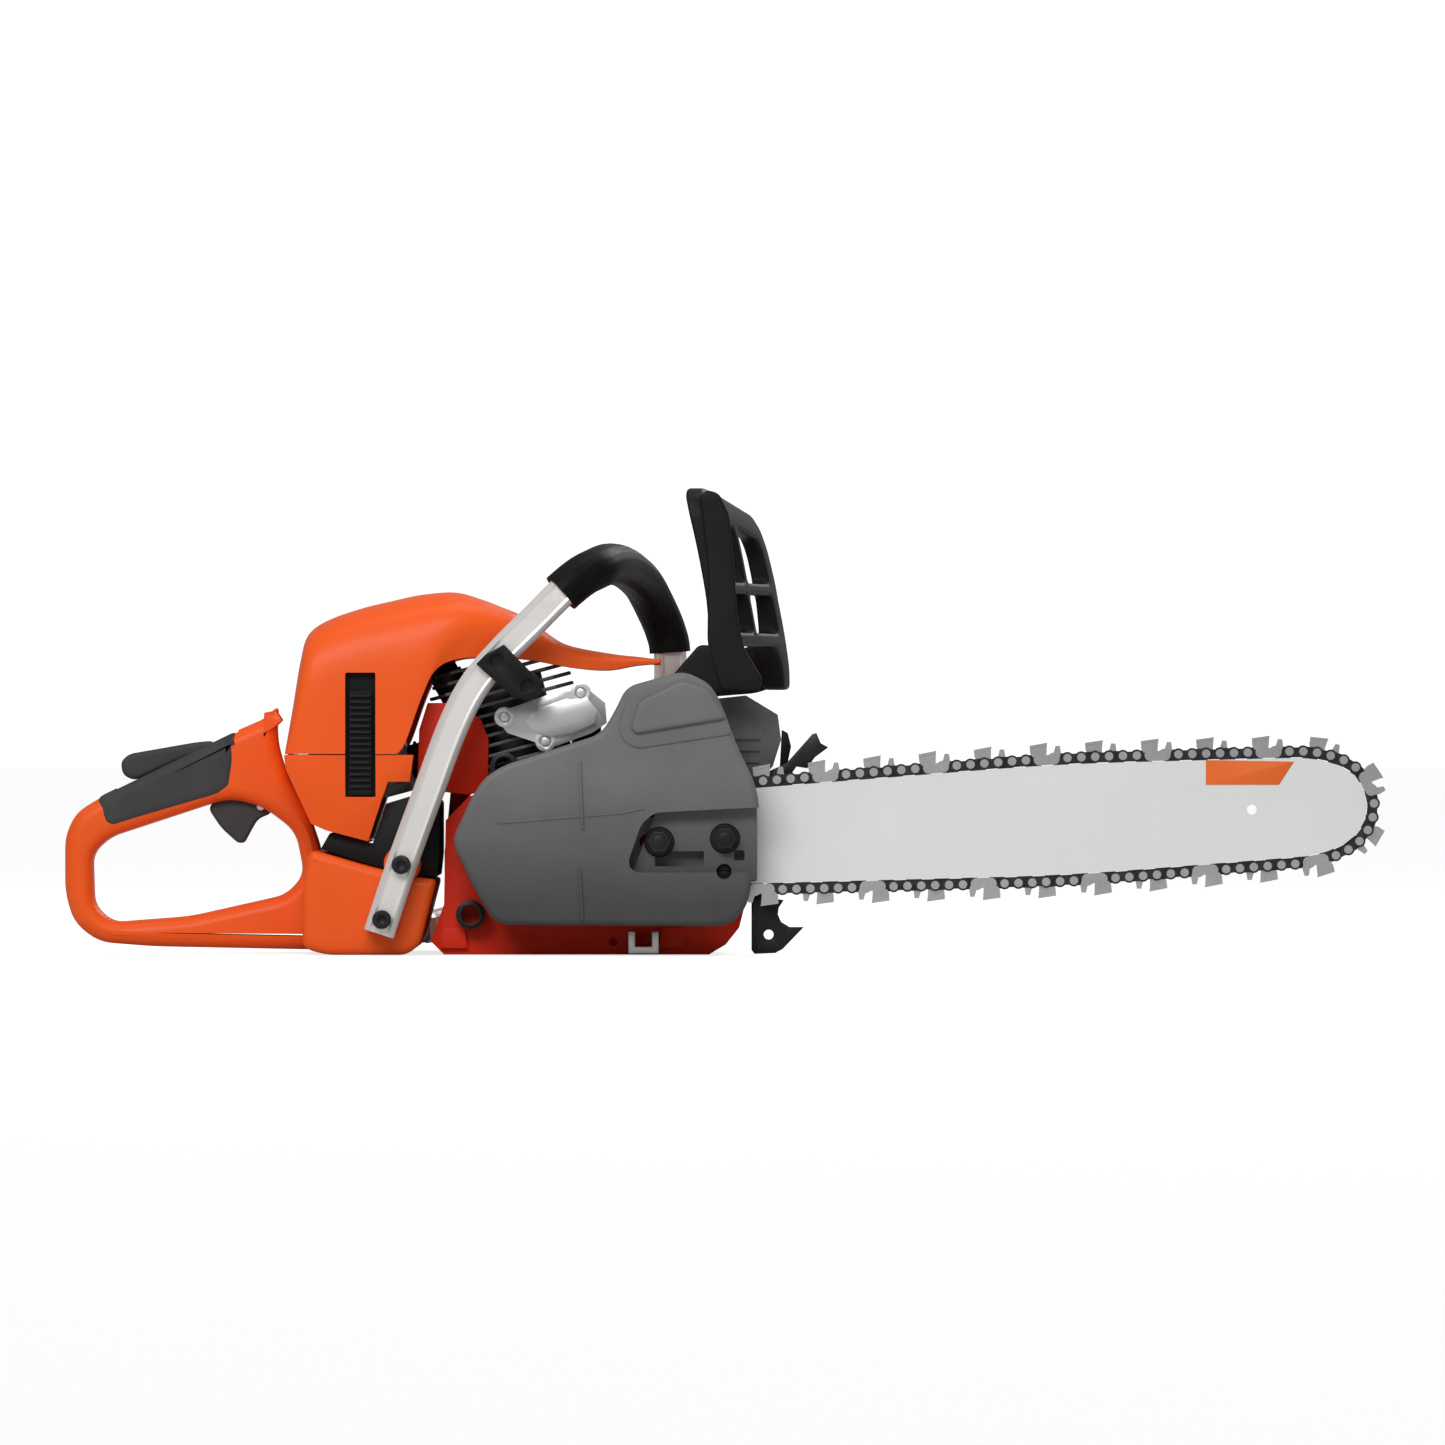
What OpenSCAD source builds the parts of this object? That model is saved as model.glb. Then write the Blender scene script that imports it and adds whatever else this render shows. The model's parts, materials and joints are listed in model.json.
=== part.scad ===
// Petrol chainsaw for forestry work, built as an assembly of separate pieces.
// Millimetres. +X points to the tip of the bar, +Y to the left side of the saw and +Z up.
// The origin is the middle of the saw's outline, on the ground. The clutch, bar and chain
// are on the right side, the starter on the left.

/* [Engine] */
// Place of the crankshaft's axis along the saw
crank_x = -109; // [-110:0.5:-108]
// Height of the crankshaft's axis
crank_z = 64.2; // [64:0.1:64.4]
// Middle of the engine across the saw
engine_y = -10; // [-10.5:0.5:-9.5]
// Diameter of the cylinder's bore
bore_d = 44; // [43:0.5:45]
// Piston stroke
stroke = 32.4; // [31:0.1:33]
// Length of the connecting rod between its eyes
rod_length = 60; // [59.5:0.5:60.5]
// Backward lean of the cylinder
cylinder_lean = 15; // [14:0.5:16]
// Number of cooling fins on the cylinder
fin_count = 11; // [9:1:12]

/* [Bar and chain] */
// Upward tilt of the bar
bar_tilt = 3; // [2.8:0.1:3.2]
// Middle plane of the bar and chain across the saw
bar_y = -72; // [-72.4:0.2:-71.6]
// Thickness of the bar
bar_thickness = 4.2; // [4:0.1:4.4]
// Width of the bar's groove
groove_width = 1.7; // [1.65:0.05:1.8]
// Distance between neighbouring rivets of the chain
rivet_pitch = 8.255; // [8.25:0.005:8.26]
// Number of drive links in the chain
drive_link_count = 66; // [66:1:66]
// Half the width of the rivet line over the bar's nose
nose_radius = 29.6; // [29.4:0.1:29.8]

/* [Clutch and brake] */
// Outer diameter of the clutch drum
drum_d = 72; // [71:0.5:73]
// Number of clutch shoes
shoe_count = 3; // [2:1:3]

/* [Handles] */
// Diameter of the front handle's tube
tube_d = 22; // [20:1:22]
// Diameter of the rubber sleeve on the front handle
sleeve_d = 25; // [24:0.5:25]
// Width of the rear handle
rear_handle_w = 32; // [30:1:34]

/* [Starter] */
// Diameter of the rope pulley
pulley_d = 52; // [50:1:53]
// Diameter of the starter rope
rope_d = 3.5; // [3:0.5:4]

/* [Hidden] */
$fn = 48;

orange = [0.93, 0.36, 0.13];
dark_red = [0.55, 0.14, 0.08];
cover_grey = [0.36, 0.37, 0.38];
black_plastic = [0.13, 0.13, 0.14];
grip_grey = [0.27, 0.28, 0.29];
bright_alloy = [0.80, 0.79, 0.77];
cast_alloy = [0.66, 0.66, 0.65];
steel = [0.62, 0.63, 0.65];
dark_steel = [0.22, 0.23, 0.25];
bar_paint = [0.86, 0.87, 0.88];
rubber_black = [0.09, 0.09, 0.09];

eps = 0.01;
running_gap = 0.05;
bore_r = bore_d / 2;
crank_r = stroke / 2;
pin_height = rod_length + crank_r;
drum_r = drum_d / 2;

// ---- shared shapes ----

// A flat piece whose outline is in X and Z, from y0 to y1
module slab(y0, y1, outline)
    translate([0, y1, 0]) rotate([90, 0, 0]) linear_extrude(y1 - y0) polygon(outline);

// A flat piece whose outline is in Y and Z, from x0 to x1
module slice(x0, x1, outline)
    translate([x0, 0, 0]) rotate([90, 0, 90]) linear_extrude(x1 - x0) polygon(outline);

// A box between two corners
module box(low, high) translate(low) cube(high - low);

// A round bar across the saw
module rod_y(x, z, y0, y1, r) translate([x, y1, z]) rotate([90, 0, 0]) cylinder(h = y1 - y0, r = r);

// A ring across the saw
module ring_y(x, z, y0, y1, outer, inner)
    difference() {
        rod_y(x, z, y0, y1, outer);
        rod_y(x, z, y0 - 1, y1 + 1, inner);
    }

// A socket-head screw across the saw, its head at y and pointing to -Y
module cap_screw(x, z, y, head_r, head_h, shank_r, shank_l) {
    difference() {
        rod_y(x, z, y - head_h, y, head_r);
        translate([x, y - head_h * 0.4, z]) rotate([90, 0, 0]) cylinder(h = head_h, r = head_r * 0.5, $fn = 6);
    }
    rod_y(x, z, y - eps, y + shank_l, shank_r);
}

// Things placed along the leaning cylinder, measured from the crankshaft's axis
module along_cylinder()
    translate([crank_x, engine_y, crank_z]) rotate([0, -cylinder_lean, 0]) children();

// Things placed in the bar's own frame: x along the bar, y up across it, z out to the right
module in_bar_frame()
    translate([crank_x, bar_y, crank_z]) rotate([0, -bar_tilt, 0]) rotate([90, 0, 0]) children();

// Round tube swept along a list of points
function unit(v) = v / norm(v);
function tangent(p, i) = unit(p[min(i + 1, len(p) - 1)] - p[max(i - 1, 0)]);
function ring_points(centre, dir, r, sides, side_axis) =
    let (a = unit(cross(dir, side_axis)), b = cross(dir, a))
    [for (k = [0 : sides - 1]) centre + r * (cos(360 * k / sides) * a + sin(360 * k / sides) * b)];
module swept_tube(path, r, sides = 16, side_axis = [1, 0, 0.3]) {
    n = len(path);
    points = [for (i = [0 : n - 1]) each ring_points(path[i], tangent(path, i), r, sides, side_axis)];
    walls = [for (i = [0 : n - 2]) for (k = [0 : sides - 1]) for (half = [0, 1])
        let (a = i * sides + k, b = i * sides + (k + 1) % sides)
        half == 0 ? [b, a, b + sides] : [b + sides, a, a + sides]];
    first = [for (k = [0 : sides - 1]) k];
    last = [for (k = [sides - 1 : -1 : 0]) (n - 1) * sides + k];
    polyhedron(points, concat(walls, [first, last]), convexity = 6);
}

// A smooth curve through hand-picked points, with extra points between them
function between(a, b, c, d, t) =
    0.5 * ((2 * b) + (c - a) * t + (2 * a - 5 * b + 4 * c - d) * t * t + (3 * b - a - 3 * c + d) * t * t * t);
function smooth(p, steps) =
    let (n = len(p))
    concat([for (i = [0 : n - 2]) for (s = [0 : steps - 1])
        between(p[max(i - 1, 0)], p[i], p[i + 1], p[min(i + 2, n - 1)], s / steps)], [p[n - 1]]);

// ---- crankcase ----

// Side outline of the crankcase with the seat of the cylinder on top
crankcase_outline = [[-174, 8], [-166, 0], [-8, 0], [2, 6], [10, 16], [16, 40], [17, 98], [-75, 100],
    [-84, 110.5], [-88, 111.2], [-151, 94.3], [-165, 80], [-166, 30]];
chamber_r = 31;
journal_r = 7.5;
bearing_r = 17.5;

module crankcase_half(y0, y1) {
    difference() {
        slab(y0, y1, crankcase_outline);
        rod_y(crank_x, crank_z, engine_y - 16, engine_y + 16, chamber_r);
        rod_y(crank_x, crank_z, engine_y - 28, engine_y + 28, bearing_r);
        rod_y(crank_x, crank_z, y0 - 1, y1 + 1, journal_r + 1.5);
        along_cylinder() cylinder(h = 60, r = bore_r + 3);
        slab(max(y0 + 6, -54), min(y1 - 6, 32), [[-58, 10], [-12, 10], [4, 22], [8, 88], [-58, 88]]);
    }
}

module crankcase_right() color(dark_red) {
    difference() {
        union() {
            crankcase_half(-60, engine_y);
            slab(-69.9, -60 + eps, [[-62, 44], [17, 46], [17, 92], [-62, 90]]);
            for (x = [-160, -30]) slab(-64, -60 + eps, [[x - 8, 4], [x + 8, 4], [x + 6, 16], [x - 6, 16]]);
        }
        for (s = stud_places) rod_y(s[0], s[1], -71, -44, 4);
        rod_y(1, 50, -71, -50, 2.6);
        slab(-71, -64, [[-24, 62], [-12, 62], [-12, 74], [-24, 74]]);
        rod_y(-65, 7.5, -61, -52, 2.6);
    }
}
stud_places = [[-37.5, 67.5], [1.5, 69.5]];

module crankcase_left() color(dark_red) {
    difference() {
        union() {
            crankcase_half(engine_y, 40);
            rod_y(-20, 26, 39, 62, 13);
        }
        rod_y(-20, 26, 30, 63, 9.5);
    }
}

// ---- cylinder and what is in it ----

fin_pitch = 6;
valve_place = [6, 24];
fin_base = 53;
cylinder_base = 46.7;
module engine_cylinder() color(cast_alloy) along_cylinder() difference() {
    union() {
        translate([0, 0, cylinder_base + 0.1]) cylinder_flange();
        translate([0, 0, cylinder_base]) round_post(bore_r + 5, 56);
        for (i = [0 : fin_count - 1]) translate([0, 0, fin_base + i * fin_pitch])
            linear_extrude(1.8) fin_outline(i);
        translate([18, -16, 60]) cube([28, 32, 22]);
        translate([-46, -14, 58]) cube([28, 28, 20]);
        rotate([0, -plug_lean, 0]) translate([0, 0, 96]) round_post(10, 22);
    }
    translate([0, 0, cylinder_base - 1]) round_post(bore_r, 97 - cylinder_base);
    translate([20, 0, 71]) rotate([0, 90, 0]) round_post(9, 30);
    translate([-47, 0, 68]) rotate([0, 90, 0]) round_post(8, 30);
    rotate([0, -plug_lean, 0]) translate([0, 0, 88]) round_post(5, 40);
    rotate([0, -plug_lean, 0]) translate([0, 0, 118]) round_post(10, 12);
    translate([valve_place[0], valve_place[1], 80]) round_post(4.06, 44);
}
module round_post(r, h) linear_extrude(h) circle(r);
module cylinder_flange() linear_extrude(5) polygon([[-33, -30], [-26, -36], [26, -36], [33, -30],
    [33, 30], [26, 36], [-26, 36], [-33, 30]]);
module fin_outline(i) {
    w = i > 7 ? 40 - (i - 7) * 2 : 40;
    l = i > 7 ? 44 - (i - 7) * 3 : 44;
    polygon([[-l, -w + 10], [-l + 10, -w], [l - 10, -w], [l, -w + 10], [l, w - 10], [l - 10, w],
        [-l + 10, w], [-l, w - 10]]);
}

// Cast cover of the transfer ports on the cylinder's right side
module transfer_cover() color(bright_alloy) {
    difference() {
        union() {
            slab(-58, -50.5, [[-134, 139], [-129, 146], [-98, 157], [-80, 158], [-70, 150], [-69, 138],
                [-78, 132], [-100, 124], [-110, 126], [-128, 132]]);
            slab(-62, -58 + eps, [[-117, 139], [-112, 146], [-94, 152], [-80, 152], [-75, 145], [-76, 138],
                [-90, 132], [-104, 130], [-112, 133]]);
            for (p = cover_screws) rod_y(p[0], p[1], -60, -50.5, 6);
        }
        for (p = cover_screws) rod_y(p[0], p[1], -60.5, -57, 3.6);
    }
    for (p = cover_screws) rod_y(p[0], p[1], -59.5, -57.5, 2.6);
}
cover_screws = [[-130, 141.5], [-84.5, 156], [-105.5, 127]];

plug_lean = 14;
module spark_plug() along_cylinder() rotate([0, -plug_lean, 0]) {
    color(steel) translate([0, 0, 99]) round_post(4.95, 19.1);
    color(steel) translate([0, 0, 118.1]) linear_extrude(7) circle(8.6, $fn = 6);
    color("white") translate([0, 0, 125]) round_post(4.4, 4);
    color(rubber_black) translate([0, 0, 129]) round_post(7, 9);
    color(rubber_black) translate([-3, 0, 136]) rotate([0, -76, 0]) round_post(4.2, 18);
}

module piston() color(steel) along_cylinder() {
    difference() {
        translate([0, 0, pin_height - 14]) round_post(bore_r - running_gap, 32);
        translate([0, 0, pin_height - 15]) round_post(bore_r - 3, 28);
        for (h = [9, 13]) translate([0, 0, pin_height + h]) difference() {
            round_post(bore_r + 1, 1.2);
            translate([0, 0, -1]) round_post(bore_r - 1.6, 4);
        }
        translate([0, 30, pin_height]) rotate([90, 0, 0]) round_post(5.5, 60);
    }
    translate([0, 17, pin_height]) rotate([90, 0, 0]) round_post(5.45, 34);
}

module connecting_rod() color(steel) along_cylinder() {
    difference() {
        union() {
            translate([0, 4, crank_r]) rotate([90, 0, 0]) round_post(11.5, 8);
            translate([0, 4, pin_height]) rotate([90, 0, 0]) round_post(8.4, 8);
            translate([-4, -3, crank_r]) cube([8, 6, rod_length]);
        }
        translate([0, 5, pin_height]) rotate([90, 0, 0]) round_post(5.5, 10);
    }
    translate([0, 5.5, crank_r]) rotate([90, 0, 0]) round_post(7, 11);
}

web_r = 26;
module crankshaft() color(steel) {
    rod_y(crank_x, crank_z, engine_y - 14, engine_y - 6, web_r);
    rod_y(crank_x, crank_z, engine_y + 6, engine_y + 14, web_r);
    rod_y(crank_x, crank_z, -68, engine_y - 14 + eps, journal_r - running_gap);
    rod_y(crank_x, crank_z, -98, -68 + eps, 5);
    rod_y(crank_x, crank_z, engine_y + 14 - eps, 44, journal_r - running_gap);
    rod_y(crank_x, crank_z, 44 - eps, 66, 5);
    translate([crank_x, 70.2, crank_z]) rotate([90, 0, 0]) linear_extrude(4.2 + eps) circle(7.5, $fn = 6);
}

module crank_bearings() color(steel)
    for (y = [engine_y - 27, engine_y + 16.5]) {
        ring_y(crank_x, crank_z, y, y + 10.5, bearing_r, bearing_r - 3);
        ring_y(crank_x, crank_z, y, y + 10.5, journal_r + 3, journal_r);
        ring_y(crank_x, crank_z, y + 4, y + 6.5, bearing_r - 3 + eps, journal_r + 3 - eps);
    }

flywheel_r = 47;
blade_count = 16;
module flywheel() color(cast_alloy) {
    difference() {
        rod_y(crank_x, crank_z, 44, 56, flywheel_r);
        rod_y(crank_x, crank_z, 43, 57, 5);
        rod_y(crank_x, crank_z, 42, 50, 30);
    }
    ring_y(crank_x, crank_z, 44, 51, 14, 5);
    for (i = [0 : blade_count - 1]) translate([crank_x, 0, crank_z]) rotate([0, i * 360 / blade_count, 0])
        translate([20, 55.9, -1.2]) rotate([0, 12, 0]) cube([25, 8, 2.4]);
    for (a = [20, 200]) color(dark_steel) translate([crank_x, 0, crank_z]) rotate([0, a, 0])
        translate([14, 55.9, -5]) cube([5, 5, 10]);
}

module ignition_coil() {
    color(rubber_black) difference() {
        box([-132, 44, 122.5], [-92, 60, 142]);
        box([-120, 43, 121], [-104, 61, 125]);
    }
    color(steel) for (x = [-131, -103]) intersection() {
        box([x, 45, 105], [x + 10, 58, 123]);
        difference() {
            box([-140, 40, 100], [-80, 62, 124]);
            rod_y(crank_x, crank_z, 39, 63, flywheel_r + 0.4);
        }
    }
}

// ---- clutch and brake ----

module clutch_hub() color(dark_steel) difference() {
    union() {
        rod_y(crank_x, crank_z, -95, -84, 12);
        for (i = [0 : shoe_count - 1]) translate([crank_x, 0, crank_z]) rotate([0, i * 360 / shoe_count, 0])
            translate([8, -94, -4]) cube([12, 9, 8]);
    }
    rod_y(crank_x, crank_z, -99, -83, 5);
}

// Each shoe is a sector of a ring with a slot for its guide
module clutch_shoes() color(steel)
    for (i = [0 : shoe_count - 1]) translate([crank_x, 0, crank_z]) rotate([0, i * 360 / shoe_count, 0])
        difference() {
            intersection() {
                ring_y(0, 0, -95, -84, drum_r - 2.6, 13);
                slab(-96, -83, [[3, 0], [40, 52], [60, 0], [40, -52]]);
            }
            box([-1, -96, -4.4], [20.6, -83, 4.4]);
        }

module clutch_drum() color(dark_steel) difference() {
    rod_y(crank_x, crank_z, -98, -78, drum_r);
    rod_y(crank_x, crank_z, -99, -80, drum_r - 1.8);
    rod_y(crank_x, crank_z, -100, -77, 7.05);
}

// Spool-shaped drive sprocket with notches round its flanges
module rim_sprocket() color(steel) difference() {
    rod_y(crank_x, crank_z, -75.8, -68.2, 14);
    rod_y(crank_x, crank_z, -77, -67, 7.05);
    ring_y(crank_x, crank_z, bar_y - 0.95, bar_y + 0.95, 15, 10.6);
    for (i = [0 : 6]) translate([crank_x, 0, crank_z]) rotate([0, i * 360 / 7, 0])
        rod_y(14.6, 0, -77, -67, 2.2);
}

module needle_bearing() color(bright_alloy) difference() {
    rod_y(crank_x, crank_z, -80.5, -68.4, 7);
    rod_y(crank_x, crank_z, -81, -68, 5 + running_gap);
}

module oil_pump() {
    color(black_plastic) difference() {
        slab(-66, -60.1, [[-134, 40], [-120, 34], [-84, 34], [-72, 46], [-72, 60], [-80, 88], [-134, 88]]);
        rod_y(crank_x, crank_z, -67, -60, 11);
    }
    color(dark_steel) ring_y(crank_x, crank_z, -66.5, -61, 10.5, journal_r);
}

module brake_band() color(dark_steel) {
    difference() {
        ring_y(crank_x, crank_z, -94, -84, drum_r + 2.2, drum_r + 0.9);
        translate([crank_x - 10, -95, crank_z]) rotate([0, -20, 0]) cube([16, 12, 60]);
    }
    slab(-94, -84, [[-108, 101.3], [-96, 105], [-60, 122], [-30, 140], [-31.5, 142], [-61, 124], [-97, 107],
        [-108, 103.2]]);
}

// ---- the chain's path ----

sprocket_line_r = 18.45;
rail_clearance = 3.9;
tang_depth = 7.4;
turned = [0, 79, 79, 88.5, 88.5, 91.5, 91.5, 115, 180];
half_length = drive_link_count * rivet_pitch;
function arc_dx(r, h, a) = r * (sin(h) - sin(h - a));
function arc_dy(r, h, a) = r * (cos(h - a) - cos(h));
fixed_rise = arc_dy(sprocket_line_r, 90, 79) + 52 * sin(11) + arc_dy(150, 11, 9.5) + arc_dy(1500, 1.5, 3)
    + arc_dy(70, -1.5, 23.5) + arc_dy(nose_radius, -25, 65);
fixed_length = (sprocket_line_r * 79 + 150 * 9.5 + 1500 * 3 + 70 * 23.5 + nose_radius * 65) * PI / 180 + 52;
spare_length = half_length - fixed_length;
rear_straight = (spare_length * sin(1.5) - fixed_rise) / (2 * sin(1.5));
front_straight = spare_length - rear_straight;
// Upper half of the rivet line, in the bar's frame, from behind the sprocket to the bar's tip.
// Each stretch is [radius, angle turned] or [0, length]. The heading starts at 90 degrees.
upper_run = [
    [sprocket_line_r, 79], [0, 52], [150, 9.5], [0, rear_straight], [1500, 3], [0, front_straight],
    [70, 23.5], [nose_radius, 65]
];
run_lengths = [for (s = upper_run) s[0] > 0 ? s[0] * s[1] * PI / 180 : s[1]];
function end_of(i, l) =
    let (s = upper_run[i], h = 90 - turned[i], p = start_points[i])
    s[0] > 0
        ? p + [arc_dx(s[0], h, l / s[0] * 180 / PI), arc_dy(s[0], h, l / s[0] * 180 / PI)]
        : p + l * [cos(h), sin(h)];
function add_start(i, p) = i >= len(upper_run) ? [p] : let (
        s = upper_run[i], h = 90 - turned[i], l = run_lengths[i],
        q = s[0] > 0 ? p + [arc_dx(s[0], h, s[1]), arc_dy(s[0], h, s[1])] : p + l * [cos(h), sin(h)])
    concat([p], add_start(i + 1, q));
start_points = add_start(0, [-sprocket_line_r, 0]);
function walk(d, i = 0) = (d <= run_lengths[i] || i == len(upper_run) - 1) ? [i, d] : walk(d - run_lengths[i], i + 1);
function upper_point(d) = let (w = walk(d)) end_of(w[0], w[1]);
function path_point(d) = let (total = 2 * half_length, e = d - total * floor(d / total))
    e <= half_length ? upper_point(e) : let (p = upper_point(total - e)) [p[0], -p[1]];
nose_x = start_points[len(upper_run)][0] - nose_radius;
function heading(d) = let (v = path_point(d + 0.5) - path_point(d - 0.5)) atan2(v[1], v[0]);
function offset_point(d, inward) = let (h = heading(d)) path_point(d) + inward * [sin(h), -cos(h)];

// Outline of the bar, a set distance inside the rivet line, with its tail at bar_tail_x
bar_tail_x = 46;
tail_distance = 90;
tip_count = 26;
function half_outline(inward) = [for (k = [0 : tip_count]) let (t = k / tip_count,
        d = tail_distance + (half_length - tail_distance) * (1 - (1 - t) * (1 - t) * 0.4 - (1 - t) * 0.6))
    offset_point(d, inward)];
function bar_outline(inward, tail) = let (u = half_outline(inward), n = len(u))
    concat([[tail, 14], [tail + 6, 20]], u,
        [for (i = [n - 2 : -1 : 0]) [u[i][0], -u[i][1]]], [[tail + 6, -20], [tail, -14]]);

module in_bar_layer(z0, z1) in_bar_frame() translate([0, 0, z0]) linear_extrude(z1 - z0) children();

module guide_bar() color(bar_paint) {
    half = bar_thickness / 2;
    difference() {
        in_bar_layer(-half, half) polygon(bar_outline(rail_clearance, bar_tail_x));
        in_bar_layer(-groove_width / 2, groove_width / 2) difference() {
            polygon(bar_outline(0, bar_tail_x - 4));
            polygon(bar_outline(tang_depth + 1.2, bar_tail_x + 4));
        }
        in_bar_layer(-groove_width / 2, groove_width / 2) translate([nose_x, 0])
            difference() {
                circle(nose_radius - 5);
                circle(nose_hub_r);
            }
        in_bar_layer(-4, 4) bar_slot();
        in_bar_layer(-4, 4) for (s = [1, -1]) translate([bar_tail_x + 22, s * 17]) circle(3.1);
        rod_y(315, 86.5, -78, -66, 3);
    }
    in_bar_layer(-half - 0.15, half + 0.15) for (i = [0 : 4])
        translate([nose_x + 7.7 * cos(i * 72 + 18), 7.7 * sin(i * 72 + 18)]) circle(1.7, $fn = 24);
}
module bar_slot() slot_shape(64, 118, 4.3);
module slot_shape(x0, x1, r) {
    translate([x0, 0]) circle(r);
    translate([x1, 0]) circle(r);
    translate([x0, -r]) square([x1 - x0, 2 * r]);
}

nose_tooth_count = 11;
nose_hub_r = 10;
module nose_sprocket() color(dark_steel) in_bar_layer(-0.65, 0.65) translate([nose_x, 0]) difference() {
    circle(nose_radius - tang_depth - 0.9);
    circle(nose_hub_r + 0.3);
    for (i = [0 : nose_tooth_count - 1]) rotate(i * 360 / nose_tooth_count) translate([21.5, 0]) circle(3.4);
}

// ---- the chain ----

rivet_count = 2 * drive_link_count;
drive_link_t = 1.5;
side_link_t = 1.2;
link_hole_r = 1.95;
shank_r = 1.9;
function rivet_point(k) = path_point(k * rivet_pitch);

// Drawn in the link's own frame: x from one rivet to the next, y outwards from the bar
module at_link(k) {
    a = rivet_point(k);
    b = rivet_point(k + 1);
    v = b - a;
    in_bar_frame() translate([a[0], a[1], 0]) rotate(atan2(v[1], v[0])) children();
}
module link_holes(len) for (x = [0, len]) translate([x, 0, -6]) linear_extrude(12) circle(link_hole_r, $fn = 24);
function link_length(k) = norm(rivet_point(k + 1) - rivet_point(k));

module chain_drive_links() color(dark_steel)
    for (k = [1 : 2 : rivet_count - 1]) at_link(k) let (l = link_length(k)) difference() {
        translate([0, 0, -drive_link_t / 2]) linear_extrude(drive_link_t) union() {
            translate([0, 0]) circle(3.5, $fn = 24);
            translate([l, 0]) circle(3.5, $fn = 24);
            polygon([[-1.5, 3], [l + 1.5, 3], [l + 3, -1], [l + 0.5, -4], [l / 2 + 1.2, -tang_depth],
                [l / 2 - 1.6, -tang_depth], [0.4, -4.6], [-3, -1]]);
        }
        link_holes(l);
    }

// Plain side link: a figure of eight with a flat foot that rides on the rail
module side_plate(l) union() {
    circle(3.6, $fn = 24);
    translate([l, 0]) circle(3.6, $fn = 24);
    polygon([[-0.5, -3.58], [l + 0.5, -3.58], [l + 0.5, 3], [l / 2 + 1.2, 2.4], [l / 2 - 1.2, 2.4], [-0.5, 3]]);
}
module side_layer(side, height)
    translate([0, 0, side > 0 ? drive_link_t / 2 + 0.05 : -drive_link_t / 2 - 0.05 - height])
        linear_extrude(height) children();

// Cutter places: every eighth rivet gap on one side, with the other side's half-way between
function is_cutter(m, side) = m < 64 && m % 4 == (side > 0 ? 0 : 2);

module chain_tie_straps() color(dark_steel)
    for (m = [0 : drive_link_count - 1]) for (side = [1, -1]) if (!is_cutter(m, side))
        at_link(2 * m) let (l = link_length(2 * m)) difference() {
            side_layer(side, side_link_t) side_plate(l);
            link_holes(l);
        }

// Chisel cutter: depth gauge ahead, and a top plate behind that leans back and overhangs both ways
module cutter(m, side) at_link(2 * m) let (l = link_length(2 * m)) {
    difference() {
        side_layer(side, side_link_t) union() {
            side_plate(l);
            polygon([[l - 1, 1], [l + 3.4, 0], [l + 4.6, 3], [l + 4.2, 7.4], [l + 1.6, 7.6], [l + 0.4, 4]]);
            polygon([[-4.2, 1.6], [4, 1], [4.8, 8.6], [-5.6, 7.4], [-5.5, 4]]);
        }
        link_holes(l);
    }
    translate([0, 0, side > 0 ? -0.6 : -3.3]) linear_extrude(3.9)
        polygon([[-5.6, 7.3], [4.8, 8.5], [5.1, 9.7], [-5.6, 8.5]]);
}
// Cutters of both hands, taking turns along the chain
module chain_cutters() color(bright_alloy) {
    for (m = [0 : 4 : 60]) cutter(m, 1);
    for (m = [2 : 4 : 62]) cutter(m, -1);
}

module chain_rivets() color(steel) in_bar_frame()
    for (k = [0 : rivet_count - 1]) let (p = rivet_point(k)) translate([p[0], p[1], 0]) {
        translate([0, 0, -2.1]) linear_extrude(4.2) circle(shank_r, $fn = 20);
        for (s = [1, -1]) translate([0, 0, s > 0 ? 2.05 : -2.75]) linear_extrude(0.7) circle(2.5, $fn = 20);
    }

// ---- rear handle, tank and controls ----

handle_y0 = -4 - rear_handle_w / 2;
handle_y1 = -4 + rear_handle_w / 2;
handle_outer = [[-266.5, 149.5], [-274, 141], [-291.5, 133.5], [-374, 93], [-388, 84], [-394.4, 70], [-394.4, 36],
    [-389, 18], [-374, 6.5], [-341, 4], [-240, 2], [-240, 60], [-249, 85], [-262, 107], [-268, 128]];
handle_hole = [[-378, 59.5], [-367.5, 69.5], [-296, 93], [-276, 88], [-256, 73], [-251, 47], [-262, 35],
    [-320, 22], [-366, 18.5], [-377, 28.5]];
tank_outline = [[-246, 62], [-206, 51], [-176, 45], [-170, 44], [-180, 6], [-188, 0], [-236, 0], [-250, 4],
    [-250, 40]];
tank_half_w = 66;

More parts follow.
